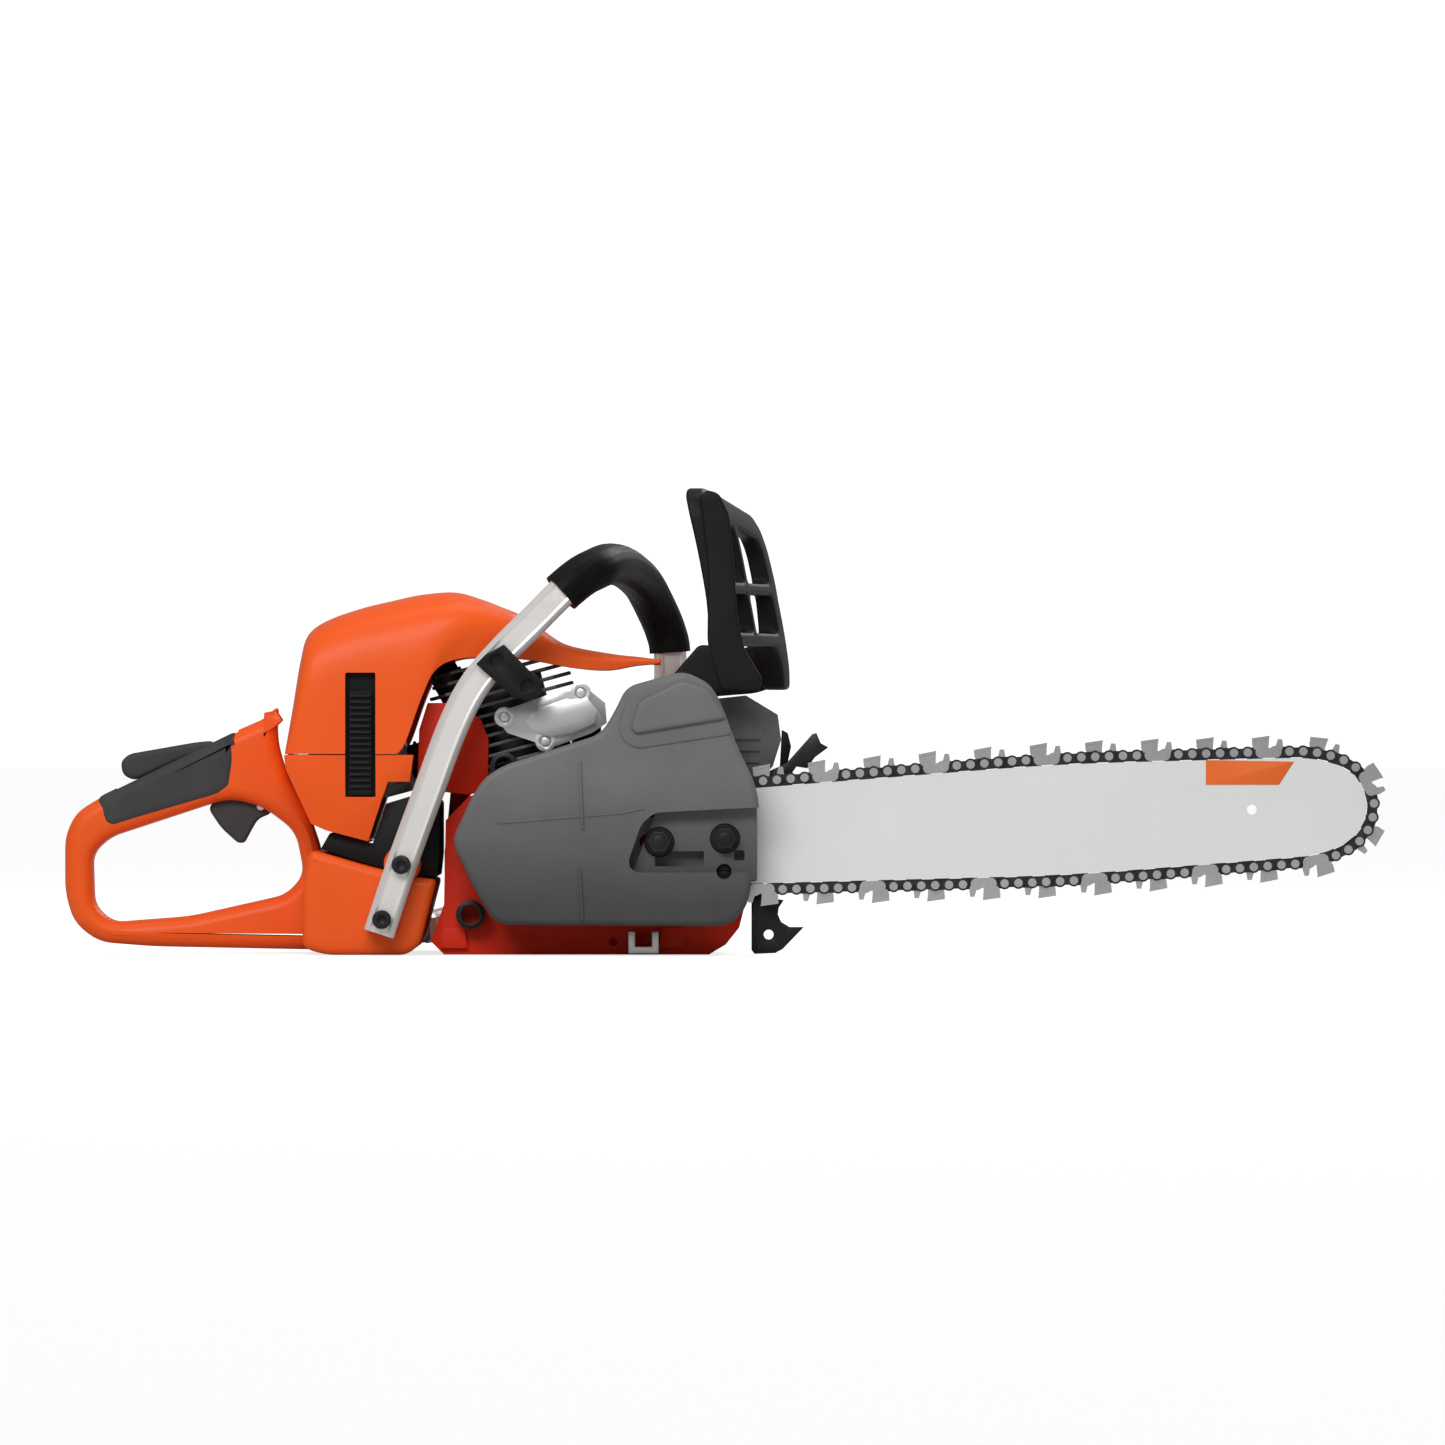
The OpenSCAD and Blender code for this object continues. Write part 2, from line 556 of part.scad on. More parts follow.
module rear_handle_tank() color(orange) {
    difference() {
        union() {
            slab(handle_y0, handle_y1, handle_outer);
            slab(tank_side, tank_half_w, tank_outline);
            rod_y(-190.5, 54, tank_side, -60, 11);
        }
        slab(handle_y0 - 1, handle_y1 + 1, handle_hole);
        slab(handle_y0 - 1, handle_y1 + 1, [[-340, 200], [-360, 98], [-289, 131], [-289, 200]]);
        slab(handle_y0 + 4, handle_y1 - 4, [[-364, 110], [-361, 90], [-306, 98], [-289, 98], [-289, 140]]);
        slab(-5.2, -2.8, [[-340, 100], [-336, 70], [-264, 76], [-264, 100]]);
        slab(-11, 3, [[-318, 100], [-314, 60], [-266, 70], [-264, 96], [-292, 112]]);
        rod_y(trigger_pivot[0], trigger_pivot[1], -14, 6, 2.6);
        rod_y(lockout_pivot[0], lockout_pivot[1], -19, 11, 2.6);
        slab(-66, 60, [[-242, 54], [-204, 45], [-183, 40], [-190, 8], [-244, 10]]);
        rod_y(fuel_cap_place[0], fuel_cap_place[1], 50, 70, 15);
        for (b = handle_bolt_places) rod_y(b[0], b[1], -75, -60, 3.1);
    }
    difference() {
        slab(48, 66, [[-232, 6], [-232, 46], [-192, 46], [-192, 6]]);
        rod_y(fuel_cap_place[0], fuel_cap_place[1], 40, 70, 15);
    }
}
handle_bolt_places = [[-190.5, 54], [-202, 21.5]];
tank_side = -74.9;

// Soft inlay on the rear handle's upper side
module rear_grip() color(grip_grey) difference() {
    slab(handle_y0 - 0.8, handle_y1 + 0.8, [[-291, 134], [-290.5, 116], [-292.5, 98], [-298, 94.5],
        [-366, 72.5], [-372.5, 77], [-375, 85], [-374, 93.5]]);
    slab(handle_y0, handle_y1, [[-280, 139.5], [-380, 90], [-380, 60], [-280, 60]]);
    slab(-16.5, 8.5, [[-364, 140], [-364, 88], [-286, 88], [-286, 140]]);
}

trigger_pivot = [-277, 88];
module throttle_trigger() color(grip_grey) {
    slab(-9.5, 1.5, [[-309, 87], [-303, 94], [-292, 100], [-276, 95], [-270, 84], [-280, 80], [-284, 73],
        [-287.5, 65.5], [-291, 66], [-301, 74.5]]);
    rod_y(trigger_pivot[0], trigger_pivot[1], -13.5, 5.5, 2.55);
}

lockout_pivot = [-312, 112];
module throttle_lockout() color(grip_grey) {
    slab(-15, 7, [[-360, 107], [-361, 116], [-357, 120], [-316, 127], [-308, 127.5], [-304, 127.8],
        [-307, 110], [-317, 110], [-319, 118.2], [-353, 103.4]]);
    rod_y(lockout_pivot[0], lockout_pivot[1], -18.5, 10.5, 2.55);
}

// ---- covers ----

cover_side = [[-261.5, 119.5], [-255, 159.5], [-250, 187], [-241.5, 198], [-223, 205], [-181.5, 215],
    [-160, 216.5], [-139, 210], [-121.5, 204], [-102, 189.5], [-92.5, 184.5], [-67, 179.5], [-36.5, 176],
    [-37.5, 173.5], [-65.5, 172], [-75, 168.5], [-118, 176], [-147.5, 177.5], [-162, 175.5], [-171, 169],
    [-179, 153], [-191.5, 121.5], [-192, 119.5]];
cover_inner = [[-257, 115], [-246, 184], [-238, 193], [-181, 210], [-160, 211.5], [-141, 205], [-124, 199],
    [-104, 185], [-93, 180.5], [-60, 175.5], [-60, 160], [-100, 100]];
cover_front = [[-72, 100], [-76, 160], [-70, 188], [-52, 212], [-30, 217], [10, 217], [34, 212], [56, 188],
    [66, 160], [64, 100]];
cover_front_inner = [[-69, 90], [-72.5, 158], [-67, 186], [-50, 208.5], [-29, 213.5], [9, 213.5], [32, 208.5],
    [53, 186], [62.5, 158], [60.5, 90]];

module top_cover() color(orange) {
    difference() {
        intersection() {
            slab(-90, 90, cover_side);
            slice(-270, -30, cover_front);
        }
        intersection() {
            slab(-90, 90, cover_inner);
            slice(-280, -20, cover_front_inner);
        }
        slab(-80, -60, latch_slot);
        along_cylinder() translate([valve_place[0], valve_place[1], 120]) round_post(6.4, 60);
    }
}
latch_slot = [[-224.5, 94], [-224.5, 168], [-206.5, 168], [-206.5, 94]];
air_box_side = [[-261, 119], [-260, 110.5], [-245, 78], [-236, 74], [-211, 67.5], [-203, 92], [-199, 103],
    [-186, 103], [-184, 119]];

module air_box() color(orange) {
    difference() {
        intersection() {
            slab(-90, 90, air_box_side);
            slice(-270, -150, [[-66, 60], [-73, 119.5], [64.5, 119.5], [60, 60]]);
        }
        intersection() {
            slab(-90, 90, [[-257, 125], [-256, 110], [-242, 82], [-212, 73], [-203, 103], [-190, 106], [-188, 125]]);
            slice(-270, -150, [[-62, 64], [-69, 125], [60.5, 125], [56, 64]]);
        }
        slab(-80, -60, latch_slot);
        box([-212, -36, 86], [-180, 16, 121]);
        rod_y(choke_place[0], choke_place[1], 50, 70, 3.55);
        rod_y(purge_place[0], purge_place[1], 50, 70, 6.1);
    }
    difference() {
        slab(-64, -61, [[-226, 90], [-226, 118], [-205, 118], [-205, 90]]);
        slab(-80, -50, [[-214, 84], [-214, 88], [-210, 88], [-210, 84]]);
    }
}

latch_pivot_z = 97;
latch_rib_count = 16;
module latch() color(black_plastic) {
    slab(-71.5, -69, [[-222.5, 95], [-222.5, 157], [-208.5, 157], [-208.5, 95]]);
    for (i = [0 : latch_rib_count - 1]) let (z = 99 + i * 3.4)
        slab(-73.6, -71.5 + eps, [[-222, z], [-222, z + 1.7], [-209, z + 1.7], [-209, z]]);
    rod_x(-222.5, -208.5, -70.2, latch_pivot_z, 2.4);
}
module rod_x(x0, x1, y, z, r) translate([x0, y, z]) rotate([0, 90, 0]) cylinder(h = x1 - x0, r = r);

// ---- front handle ----

leg_y = -86;
right_leg = [[-204, leg_y, 13], [-190, leg_y, 55], [-175, leg_y, 96], [-160, leg_y, 136], [-147, leg_y, 161],
    [-130, leg_y, 181], [-112, leg_y, 199], [-96, leg_y, 215]];
crossbar = [[-84, -81, 225], [-75, -68, 230], [-70, -45, 232.5], [-66, -15, 233.2], [-61, 20, 232.5],
    [-55, 50, 229], [-48, 76, 222], [-41, 94, 209], [-35, 101, 195]];
left_leg = [[-32, 102, 181], [-33, 102, 155], [-42, 102, 120], [-64, 102, 84], [-92, 102, 52],
    [-122, 102, 33], [-150, 102, 22], [-169, 100, 16], [-181, 91, 13.5], [-185.5, 78, 13], [-186, 66.2, 13]];
curve_steps = 3;
handle_path = smooth(concat(right_leg, crossbar, left_leg), curve_steps);
sleeve_first = (len(right_leg) - 1) * curve_steps;
sleeve_last = sleeve_first + (len(crossbar) + 1) * curve_steps;
function stretch(a, b) = [for (i = [a : b]) handle_path[i]];
module front_handle() color(bright_alloy) difference() {
    swept_tube(handle_path, tube_d / 2, 16);
    swept_tube(concat([handle_path[0] - [4, 0, 12]], handle_path, [[-186, 56, 13]]), tube_d / 2 - 2.2, 12);
    for (b = handle_bolt_places) rod_y(b[0], b[1], -100, -70, 3.1);
}
module handle_sleeve() color(rubber_black) difference() {
    swept_tube(stretch(sleeve_first, sleeve_last), sleeve_d / 2, 20);
    swept_tube(stretch(sleeve_first - 1, sleeve_last + 1), tube_d / 2 + 0.1, 16);
}
module handle_bolts() color(rubber_black) for (b = handle_bolt_places)
    cap_screw(b[0], b[1], leg_y - tube_d / 2 - 0.02, 5.6, 4.5, 3, 27);

// Bracket that ties the front handle to the engine through a spring
module handle_bracket() color(black_plastic) difference() {
    union() {
        slab(-101, -97.1, [[-140.5, 178.5], [-129.5, 184.5], [-109, 163.5], [-108.5, 156.5], [-115, 151.5],
            [-124, 153], [-146, 173]]);
        slab(-97.2, -72.55, [[-124, 153], [-115, 151.5], [-108.5, 156.5], [-109, 163.5], [-115, 168], [-126, 160]]);
    }
    for (p = [[-134, 175], [-115.5, 160]]) rod_y(p[0], p[1], -102, -98.6, 4.2);
}

// Vibration-damping coils between the engine unit and the handle unit, shown as closed sleeves
spring_places = [[-116, 160, -72.5, -52], [-130, 112, -66, -50.3], [-150, 24, -74.8, -61]];
module av_springs() color(dark_steel) for (s = spring_places) {
    ring_y(s[0], s[1], s[2], s[3], 7.5, 5.5);
    for (y = [s[2] + 1 : 4 : s[3] - 2]) ring_y(s[0], s[1], y, y + 2, 8.6, 7.4);
}

// ---- hand guard ----

guard_pivot = [-22, 160];
guard_side = [[-15, 275], [-10.5, 278], [-0.5, 276], [12, 271], [19.5, 265], [23.5, 258.5], [30.5, 238.5],
    [34.5, 220], [37, 199], [41, 186.5], [41, 176], [36, 169], [28, 161.5], [20, 157], [-1.5, 157],
    [-9, 186], [-8.5, 211.5], [-8.5, 228.5], [-9.5, 245], [-12.5, 262.5]];
// The panel's plan: it slants forward to the far side
guard_plan = [[-17, -88], [-1, -89], [24, -6], [41, 74], [35, 78], [22, 60], [4, -10]];
guard_front = [[-90, 157], [-90, 266], [-82, 276], [-64, 279], [60, 264], [74, 254], [80, 236], [80, 160],
    [60, 157]];
module hand_guard() color(black_plastic) {
    difference() {
        intersection() {
            slab(-95, 85, guard_side);
            translate([0, 0, 150]) linear_extrude(140) polygon(guard_plan);
            slice(-40, 60, guard_front);
        }
        for (w = [[-70, -14], [-6, 58]]) {
            slice(-60, 80, [[w[0], 222], [w[0], 252], [w[0] + 4, 257], [w[1] - 4, 254], [w[1], 248], [w[1], 222]]);
            slice(-60, 80, [[w[0], 192], [w[0], 216], [w[1], 216], [w[1], 192]]);
        }
        slice(-60, 80, [[-68, 150], [-64, 176], [-52, 184], [44, 184], [54, 176], [58, 150]]);
    }
    difference() {
        union() {
            slab(-89, -80, [[-30, 166], [-14, 184.5], [-4, 184], [0, 158], [-19.5, 166], [-22, 152], [-30, 154]]);
            rod_y(guard_pivot[0], guard_pivot[1], -91, -80, 9);
            slab(73, 80, [[-30, 152], [-30, 166], [18, 186], [36, 180], [36, 162], [20, 158]]);
        }
        rod_y(guard_pivot[0], guard_pivot[1], -95, 95, 4.05);
    }
}

// ---- clutch cover and bar fixings ----

cover_outline = [[-57, 159.5], [-22.5, 169], [-8, 161.5], [-2.5, 153.5], [2.5, 141], [8, 125.5], [20, 100.5],
    [22.5, 83], [16.5, 38.5], [14, 29], [5.5, 19], [-6, 17.5], [-129.5, 18.5], [-136.5, 22], [-146.5, 38.5],
    [-160.5, 68], [-147.5, 96], [-140.5, 106], [-129.5, 113], [-72, 131.5], [-63.5, 145.5]];
cover_cavity = [[-60, 127], [4, 127], [16, 100], [24, 99], [24, 43], [12, 38], [10, 30], [2, 22], [-128, 22.5],
    [-143, 40], [-156, 68], [-144, 94], [-137, 103], [-128, 109.5]];
nut_recess = [[21.5, 88.5], [-40, 85], [-48, 78.5], [-55.5, 57], [-55, 52.5], [-51, 49.5], [17, 49.5]];
cover_outer_y = -110;
module clutch_cover() color(cover_grey) {
    cover_shell();
    rod_y(guard_pivot[0], guard_pivot[1], -93, -78, 4);
}
module cover_shell() difference() {
    union() {
        slab(cover_outer_y, -76.2, cover_outline);
        slab(-114.5, cover_outer_y + eps, [[-54.5, 134.5], [-51, 131.5], [2.5, 140.5], [-8, 158], [-24, 163],
            [-43, 154], [-50, 150]]);
        for (z = [[75, 115], [21, 52]]) slab(-111.4, cover_outer_y + eps, [[-85.5, z[1]], [-83.7, z[1]],
            [-82, z[0]], [-83.8, z[0]]]);
    }
    difference() {
        slab(-107, -70, cover_cavity);
        slab(-108, -69, [[-62, 48], [22, 43], [26, 94], [-36, 90], [-52, 80]]);
    }
    slab(-98, -74, [[-56, 90.5], [-36, 90.5], [30, 94.5], [30, 120], [14, 108], [0, 124], [-56, 124]]);
    slab(-84, -74, [[-64, 44], [30, 44], [30, 98], [-64, 98]]);
    slab(-115, -98, nut_recess);
    for (s = stud_places) rod_y(s[0], s[1], -120, -70, 4.3);
    rod_y(1, 50, -120, -80, 4.6);
    slab(-99, -95, [[-24, 53], [-24, 61], [-10, 61], [-10, 53]]);
    slab(-108, -74, [[-60, 120], [-40, 128], [-28, 130], [-12, 150], [-26, 160], [-44, 150], [-60, 130]]);
    rod_y(guard_pivot[0], guard_pivot[1], -92, -70, 10.5);
    slab(-91.5, -70, [[-36, 138], [2, 138], [14, 190], [-62, 190]]);
}
module bar_studs() color(steel) for (s = stud_places) {
    rod_y(s[0], s[1], -108, -44.5, 3.95);
}
module bar_nuts() color(dark_steel) for (s = stud_places) difference() {
    union() {
        rod_y(s[0], s[1], -100, -98.1, 9);
        translate([s[0], -99.9, s[1]]) rotate([90, 0, 0]) linear_extrude(8) circle(7.5, $fn = 6);
    }
    rod_y(s[0], s[1], -110, -98, 4);
}

// Screw reached from the right, a threaded rod along the cover, and the pin that pulls the bar forward
module tensioner_screw() color(steel) {
    difference() {
        rod_y(1, 50, -94, -84.2, 4.2);
        box([-4, -95, 49.3], [6, -92.6, 50.7]);
    }
    rod_y(1, 50, -84.3, -77.5, 2.5);
    rod_x(-46, 1, -80, 50.6, 1.7);
    in_bar_frame() translate([bar_tail_x + 22, -17, -2]) round_post(2.9, 12);
}

// ---- spikes and catcher ----

module bumper_spikes() color(dark_steel) {
    difference() {
        slab(-66, -62.8, [[24.5, 34.5], [36.5, 32.5], [33.5, 28], [33, 24], [35, 19.5], [40, 16.5], [48.5, 16.5],
            [36, 3.5], [31.5, 1], [19, 0.5], [17.2, 3], [17.2, 96], [20, 106], [38, 114], [50.5, 128],
            [53.5, 131.5], [56, 132], [58.5, 126], [63, 123.5], [55, 117.5], [50.5, 111], [44, 112], [36, 100],
            [28, 96], [24, 60]]);
        rod_y(27.5, 12, -70, -60, 2.9);
    }
    for (z = [30, 88]) cap_screw(20.5, z, -66, 2.6, 1.6, 1.2, 3);
}
module chain_catcher() color(bright_alloy) difference() {
    slab(-78, -60.1, [[-56, 1], [-38, 1], [-38, 14], [-42, 14], [-42, 5], [-52, 5], [-52, 14], [-56, 14]]);
    rod_y(-47, 3, -70, -66, 1.2);
}

// ---- intake and exhaust ----

module muffler() color(dark_steel) {
    difference() {
        slab(-52, 32, [[-30, 104], [22, 104], [30, 112], [35, 128], [33, 143], [14, 154.5], [-28, 150]]);
        slab(-50, 30, [[-28, 106], [21, 106], [28, 113], [33, 128], [31, 142], [13, 152], [-26, 148]]);
        translate([-40, engine_y, 139]) rotate([0, 90, 0]) round_post(8.8, 14);
    }
    for (z = [114, 121, 128]) slab(-53.4, -52 + eps, [[-24, z], [22, z], [22, z + 2.4], [-24, z + 2.4]]);
}
module muffler_deflector() color(black_plastic) difference() {
    slab(-50, -18, [[34.2, 110], [38.5, 112], [41, 124], [39, 132], [35.5, 134]]);
    slab(-46, -22, [[30, 114], [36, 115], [37.5, 124], [36, 129], [30, 130]]);
}
module intake_boot() color(rubber_black) along_cylinder() difference() {
    translate([-46.2, 0, 68]) rotate([0, -90, 0]) union() {
        round_post(13, 5);
        round_post(11, 16);
        for (h = [6, 10]) translate([0, 0, h]) round_post(12.4, 2);
    }
    translate([-45, 0, 68]) rotate([0, -90, 0]) round_post(8, 40);
}
// Black tray under the carburettor, between the tank and the air box
module carburettor_tray() color(black_plastic) difference() {
    slab(-60, 56, [[-239.5, 63], [-206, 52], [-176, 46.5], [-170, 46.5], [-168.6, 60], [-168.6, 90], [-172, 95],
        [-184, 95], [-200.5, 90], [-208.5, 66.3], [-234, 72.5]]);
    slab(-56, 60, [[-232, 63], [-206, 56], [-174, 51], [-171.5, 60], [-171.5, 98], [-188, 98], [-198, 86],
        [-204, 68]]);
}

// Painted sheet that guides the fan's air round the rear of the cylinder
module cylinder_shroud() color(orange) slab(-54, -50.6, [[-182, 104], [-168, 97], [-151, 95.2], [-140, 98.2],
    [-139.5, 128], [-144, 140], [-158, 150], [-176, 150], [-181, 134]]);

module carburettor() color(cast_alloy) along_cylinder() difference() {
    union() {
        translate([-92, -19, 52]) cube([29.5, 38, 32]);
        translate([-86, -22, 58]) cube([16, 44, 10]);
        translate([-78, -23.5, 74]) rotate([-90, 0, 0]) round_post(4.5, 4.6);
    }
    translate([-45, 0, 68]) rotate([0, -90, 0]) round_post(8.5, 60);
}
module air_filter() color([0.85, 0.83, 0.76]) difference() {
    slab(-44, 36, [[-248, 112], [-242, 184], [-232, 190], [-218, 188], [-209, 112]]);
    box([-222, -31, 110], [-205, 11, 126]);
    for (i = [0 : 12]) slice(-250, -205, [[-40 + i * 5.6, 116], [-38 + i * 5.6, 116], [-38 + i * 5.6, 182],
        [-40 + i * 5.6, 182]]);
}

// ---- starter side ----

pulley_place = [crank_x, crank_z];
module starter_cover() color(orange) {
    starter_shell();
    slab(64, 72, [[-38, 112], [-6, 112], [-12, 164], [-22, 170], [-32, 164]]);
    rod_y(guard_pivot[0], guard_pivot[1], 71, 82, 4);
}
module starter_shell() difference() {
    intersection() {
        slab(41, 90, [[-168, 12], [-160, 4], [-10, 4], [0, 14], [4, 60], [0, 110], [-18, 122], [-150, 122],
            [-163, 110], [-168, 60]]);
        slice(-200, 20, [[41, 0], [41, 130], [72, 126], [84, 116], [90, 96], [90, 30], [82, 10], [72, 4]]);
    }
    rod_y(crank_x, crank_z, 40, 70, 53);
    rod_y(crank_x, crank_z, 69, 86, 37);
    slab(40, 62, [[-136, 110], [-136, 144], [-88, 144], [-88, 110]]);
    for (i = [0 : 6]) for (s = [-1, 1]) let (z = crank_z + (i - 3) * 9.5)
        box([crank_x + s * 44 - 4, 64, z], [crank_x + s * 44 + 4, 95, z + 4.2]);
    for (i = [0 : 5]) box([crank_x - 24 + i * 9, 64, crank_z + 40], [crank_x - 20 + i * 9, 95, crank_z + 48]);
    rod_y(-20, 26, 38, 95, 14);
    translate([grip_place[0], grip_place[1], 90]) cylinder(h = 60, r = 4);
    translate([grip_place[0], grip_place[1], 116]) cylinder(h = 30, r = 11);
    translate([grip_place[0], grip_place[1], 8]) cylinder(h = 112, r = 3);
}
grip_place = [crank_x + 26.2, 76];
module starter_pulley() color(black_plastic) difference() {
    rod_y(pulley_place[0], pulley_place[1], 71, 81, pulley_d / 2 + 4);
    ring_y(pulley_place[0], pulley_place[1], 74, 78, pulley_d / 2 + 5, pulley_d / 2 - 1.6);
    rod_y(pulley_place[0], pulley_place[1], 70, 82, 6.05);
    rod_y(pulley_place[0], pulley_place[1], 79, 82, 22);
}
module recoil_spring() color(steel) {
    for (i = [0 : 5]) ring_y(pulley_place[0], pulley_place[1], 79.4, 85, 9 + i * 2.2, 8.3 + i * 2.2);
    rod_y(pulley_place[0], pulley_place[1], 70.5, 86, 6);
}
module starter_rope() color("white") translate([grip_place[0], grip_place[1], 14])
    cylinder(h = 110, r = rope_d / 2);
module starter_grip() color(black_plastic) translate([grip_place[0], grip_place[1], 0]) difference() {
    union() {
        translate([0, 0, 118.2]) cylinder(h = 10, r = 9);
        translate([-9, -11.5, 128]) cube([18, 28.5, 14]);
    }
    translate([0, 0, 117]) cylinder(h = 7.1, r = rope_d / 2 + 0.02);
}

fuel_cap_place = [-215, 27];
module threaded_cap(place, y, r) difference() {
    union() {
        rod_y(place[0], place[1], y, y + 6, r);
        rod_y(place[0], place[1], y - 12, y + eps, r - 3.4);
        box([place[0] - r + 3, y + 5.9, place[1] - 2], [place[0] + r - 3, y + 10, place[1] + 2]);
    }
    for (i = [0 : 11]) translate([place[0], 0, place[1]]) rotate([0, i * 30, 0])
        rod_y(r + 1.2, 0, y - 1, y + 7, 2);
}
module fuel_cap() color(black_plastic) threaded_cap(fuel_cap_place, 66.3, 17.5);
module oil_cap() color(black_plastic) threaded_cap([-20, 26], 62.3, 12.2);

purge_place = [-240, 99];
module purge_bulb() color(rubber_black) {
    rod_y(purge_place[0], purge_place[1], 56, 66.5, 6);
    translate([purge_place[0], 66.4, purge_place[1]]) rotate([-90, 0, 0]) intersection() {
        sphere(r = 6);
        translate([-7, -7, 0]) cube([14, 14, 7]);
    }
}
choke_place = [-218, 92];
module choke_lever() color(black_plastic) {
    rod_y(choke_place[0], choke_place[1], 46, 66, 3.5);
    slab(66 - eps, 70, [[-222, 87], [-214, 87], [-212, 104], [-215, 112], [-221, 112], [-224, 104]]);
}
module decompression_valve() along_cylinder() {
    color(steel) translate([valve_place[0], valve_place[1], 100]) round_post(4, 41);
    color("royalblue") translate([valve_place[0], valve_place[1], 140.9]) round_post(5.4, 6);
}

crankcase_right();
crankcase_left();
engine_cylinder();
transfer_cover();
spark_plug();
piston();
connecting_rod();
crankshaft();
crank_bearings();
flywheel();
ignition_coil();
clutch_hub();
clutch_shoes();
clutch_drum();
rim_sprocket();
needle_bearing();
oil_pump();
muffler();
muffler_deflector();
carburettor();
air_filter();
intake_boot();
carburettor_tray();
cylinder_shroud();
rear_handle_tank();
rear_grip();
throttle_trigger();
throttle_lockout();
top_cover();
air_box();
latch();
front_handle();
handle_sleeve();
handle_bolts();
handle_bracket();
av_springs();
hand_guard();
brake_band();
clutch_cover();
bar_studs();
bar_nuts();
tensioner_screw();
guide_bar();
nose_sprocket();
chain_drive_links();
chain_tie_straps();
chain_cutters();
chain_rivets();
bumper_spikes();
chain_catcher();
starter_cover();
starter_pulley();
recoil_spring();
starter_grip();
starter_rope();
fuel_cap();
oil_cap();
purge_bulb();
choke_lever();
decompression_valve();
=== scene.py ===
# %% [markdown]
# # A petrol forestry chainsaw
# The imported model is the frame: it holds every part at its true size and place, in metres, with
# +X towards the tip of the bar, +Y to the saw's left side and +Z up. This lesson dresses it: moulded
# shells get soft edges, metal gets its finish, and small repeated details come from Geometry Nodes.

# %% Load the frame
import json
import math

import bmesh
import bpy
from mathutils import Matrix, Vector

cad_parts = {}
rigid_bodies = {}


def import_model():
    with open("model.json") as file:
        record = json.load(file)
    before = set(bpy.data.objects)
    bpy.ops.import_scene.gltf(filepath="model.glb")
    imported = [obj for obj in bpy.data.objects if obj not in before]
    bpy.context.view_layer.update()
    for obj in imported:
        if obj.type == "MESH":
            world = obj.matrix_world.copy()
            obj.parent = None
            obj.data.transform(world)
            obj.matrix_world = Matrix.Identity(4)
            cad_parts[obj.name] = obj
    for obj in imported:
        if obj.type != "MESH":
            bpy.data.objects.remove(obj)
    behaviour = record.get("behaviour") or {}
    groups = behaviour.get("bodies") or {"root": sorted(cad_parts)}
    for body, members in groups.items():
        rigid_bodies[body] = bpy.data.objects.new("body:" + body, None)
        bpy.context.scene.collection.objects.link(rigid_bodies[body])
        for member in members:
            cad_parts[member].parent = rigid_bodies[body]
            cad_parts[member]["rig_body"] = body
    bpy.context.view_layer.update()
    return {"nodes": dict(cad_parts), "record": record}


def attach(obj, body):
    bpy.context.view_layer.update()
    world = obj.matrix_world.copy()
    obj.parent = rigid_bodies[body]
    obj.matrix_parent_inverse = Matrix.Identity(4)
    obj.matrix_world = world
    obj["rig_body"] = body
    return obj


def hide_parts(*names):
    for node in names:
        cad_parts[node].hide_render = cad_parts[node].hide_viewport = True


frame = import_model()
nodes = frame["nodes"]

# %% [markdown]
# ## Driving sizes
# Places come from the frame's own boxes. The crankshaft's axis and the bar's tilt set everything on the
# chain side. A millimetre is a handy unit for outlines, so one helper turns them into metres.

# %% Driving sizes
MM = 0.001
BAR_Y = -72 * MM
CRANK = Vector((-109 * MM, 0, 64.2 * MM))
BAR_TILT = math.radians(3)
CYLINDER_LEAN = math.radians(15)
STUDS = [(-37.5, 67.5), (1.5, 69.5)]


def in_mm(points):
    """Outline points in millimetres, as metres."""
    return [(x * MM, z * MM) for x, z in points]


print("crank axis at", tuple(round(v, 4) for v in CRANK))

# %% [markdown]
# ## Materials
# Every finish is a small tree of nodes on Object coordinates: one noise shifts the colour a little, one
# shifts the roughness, and a fine one gives the surface its grain through Bump. A single helper builds
# them all, so a moulded plastic and a cast metal differ only in their numbers.

# %% A helper for surface finishes
def link_noise(tree, coords, scale, detail):
    """Noise on Object coordinates."""
    noise = tree.nodes.new("ShaderNodeTexNoise")
    noise.inputs["Scale"].default_value = scale
    noise.inputs["Detail"].default_value = detail
    tree.links.new(coords.outputs["Object"], noise.inputs["Vector"])
    return noise


def map_range(tree, value, low, high):
    """Turns a noise value from 0.3..0.7 into low..high."""
    node = tree.nodes.new("ShaderNodeMapRange")
    node.inputs["From Min"].default_value = 0.3
    node.inputs["From Max"].default_value = 0.7
    node.inputs["To Min"].default_value = low
    node.inputs["To Max"].default_value = high
    tree.links.new(value, node.inputs["Value"])
    return node.outputs["Result"]


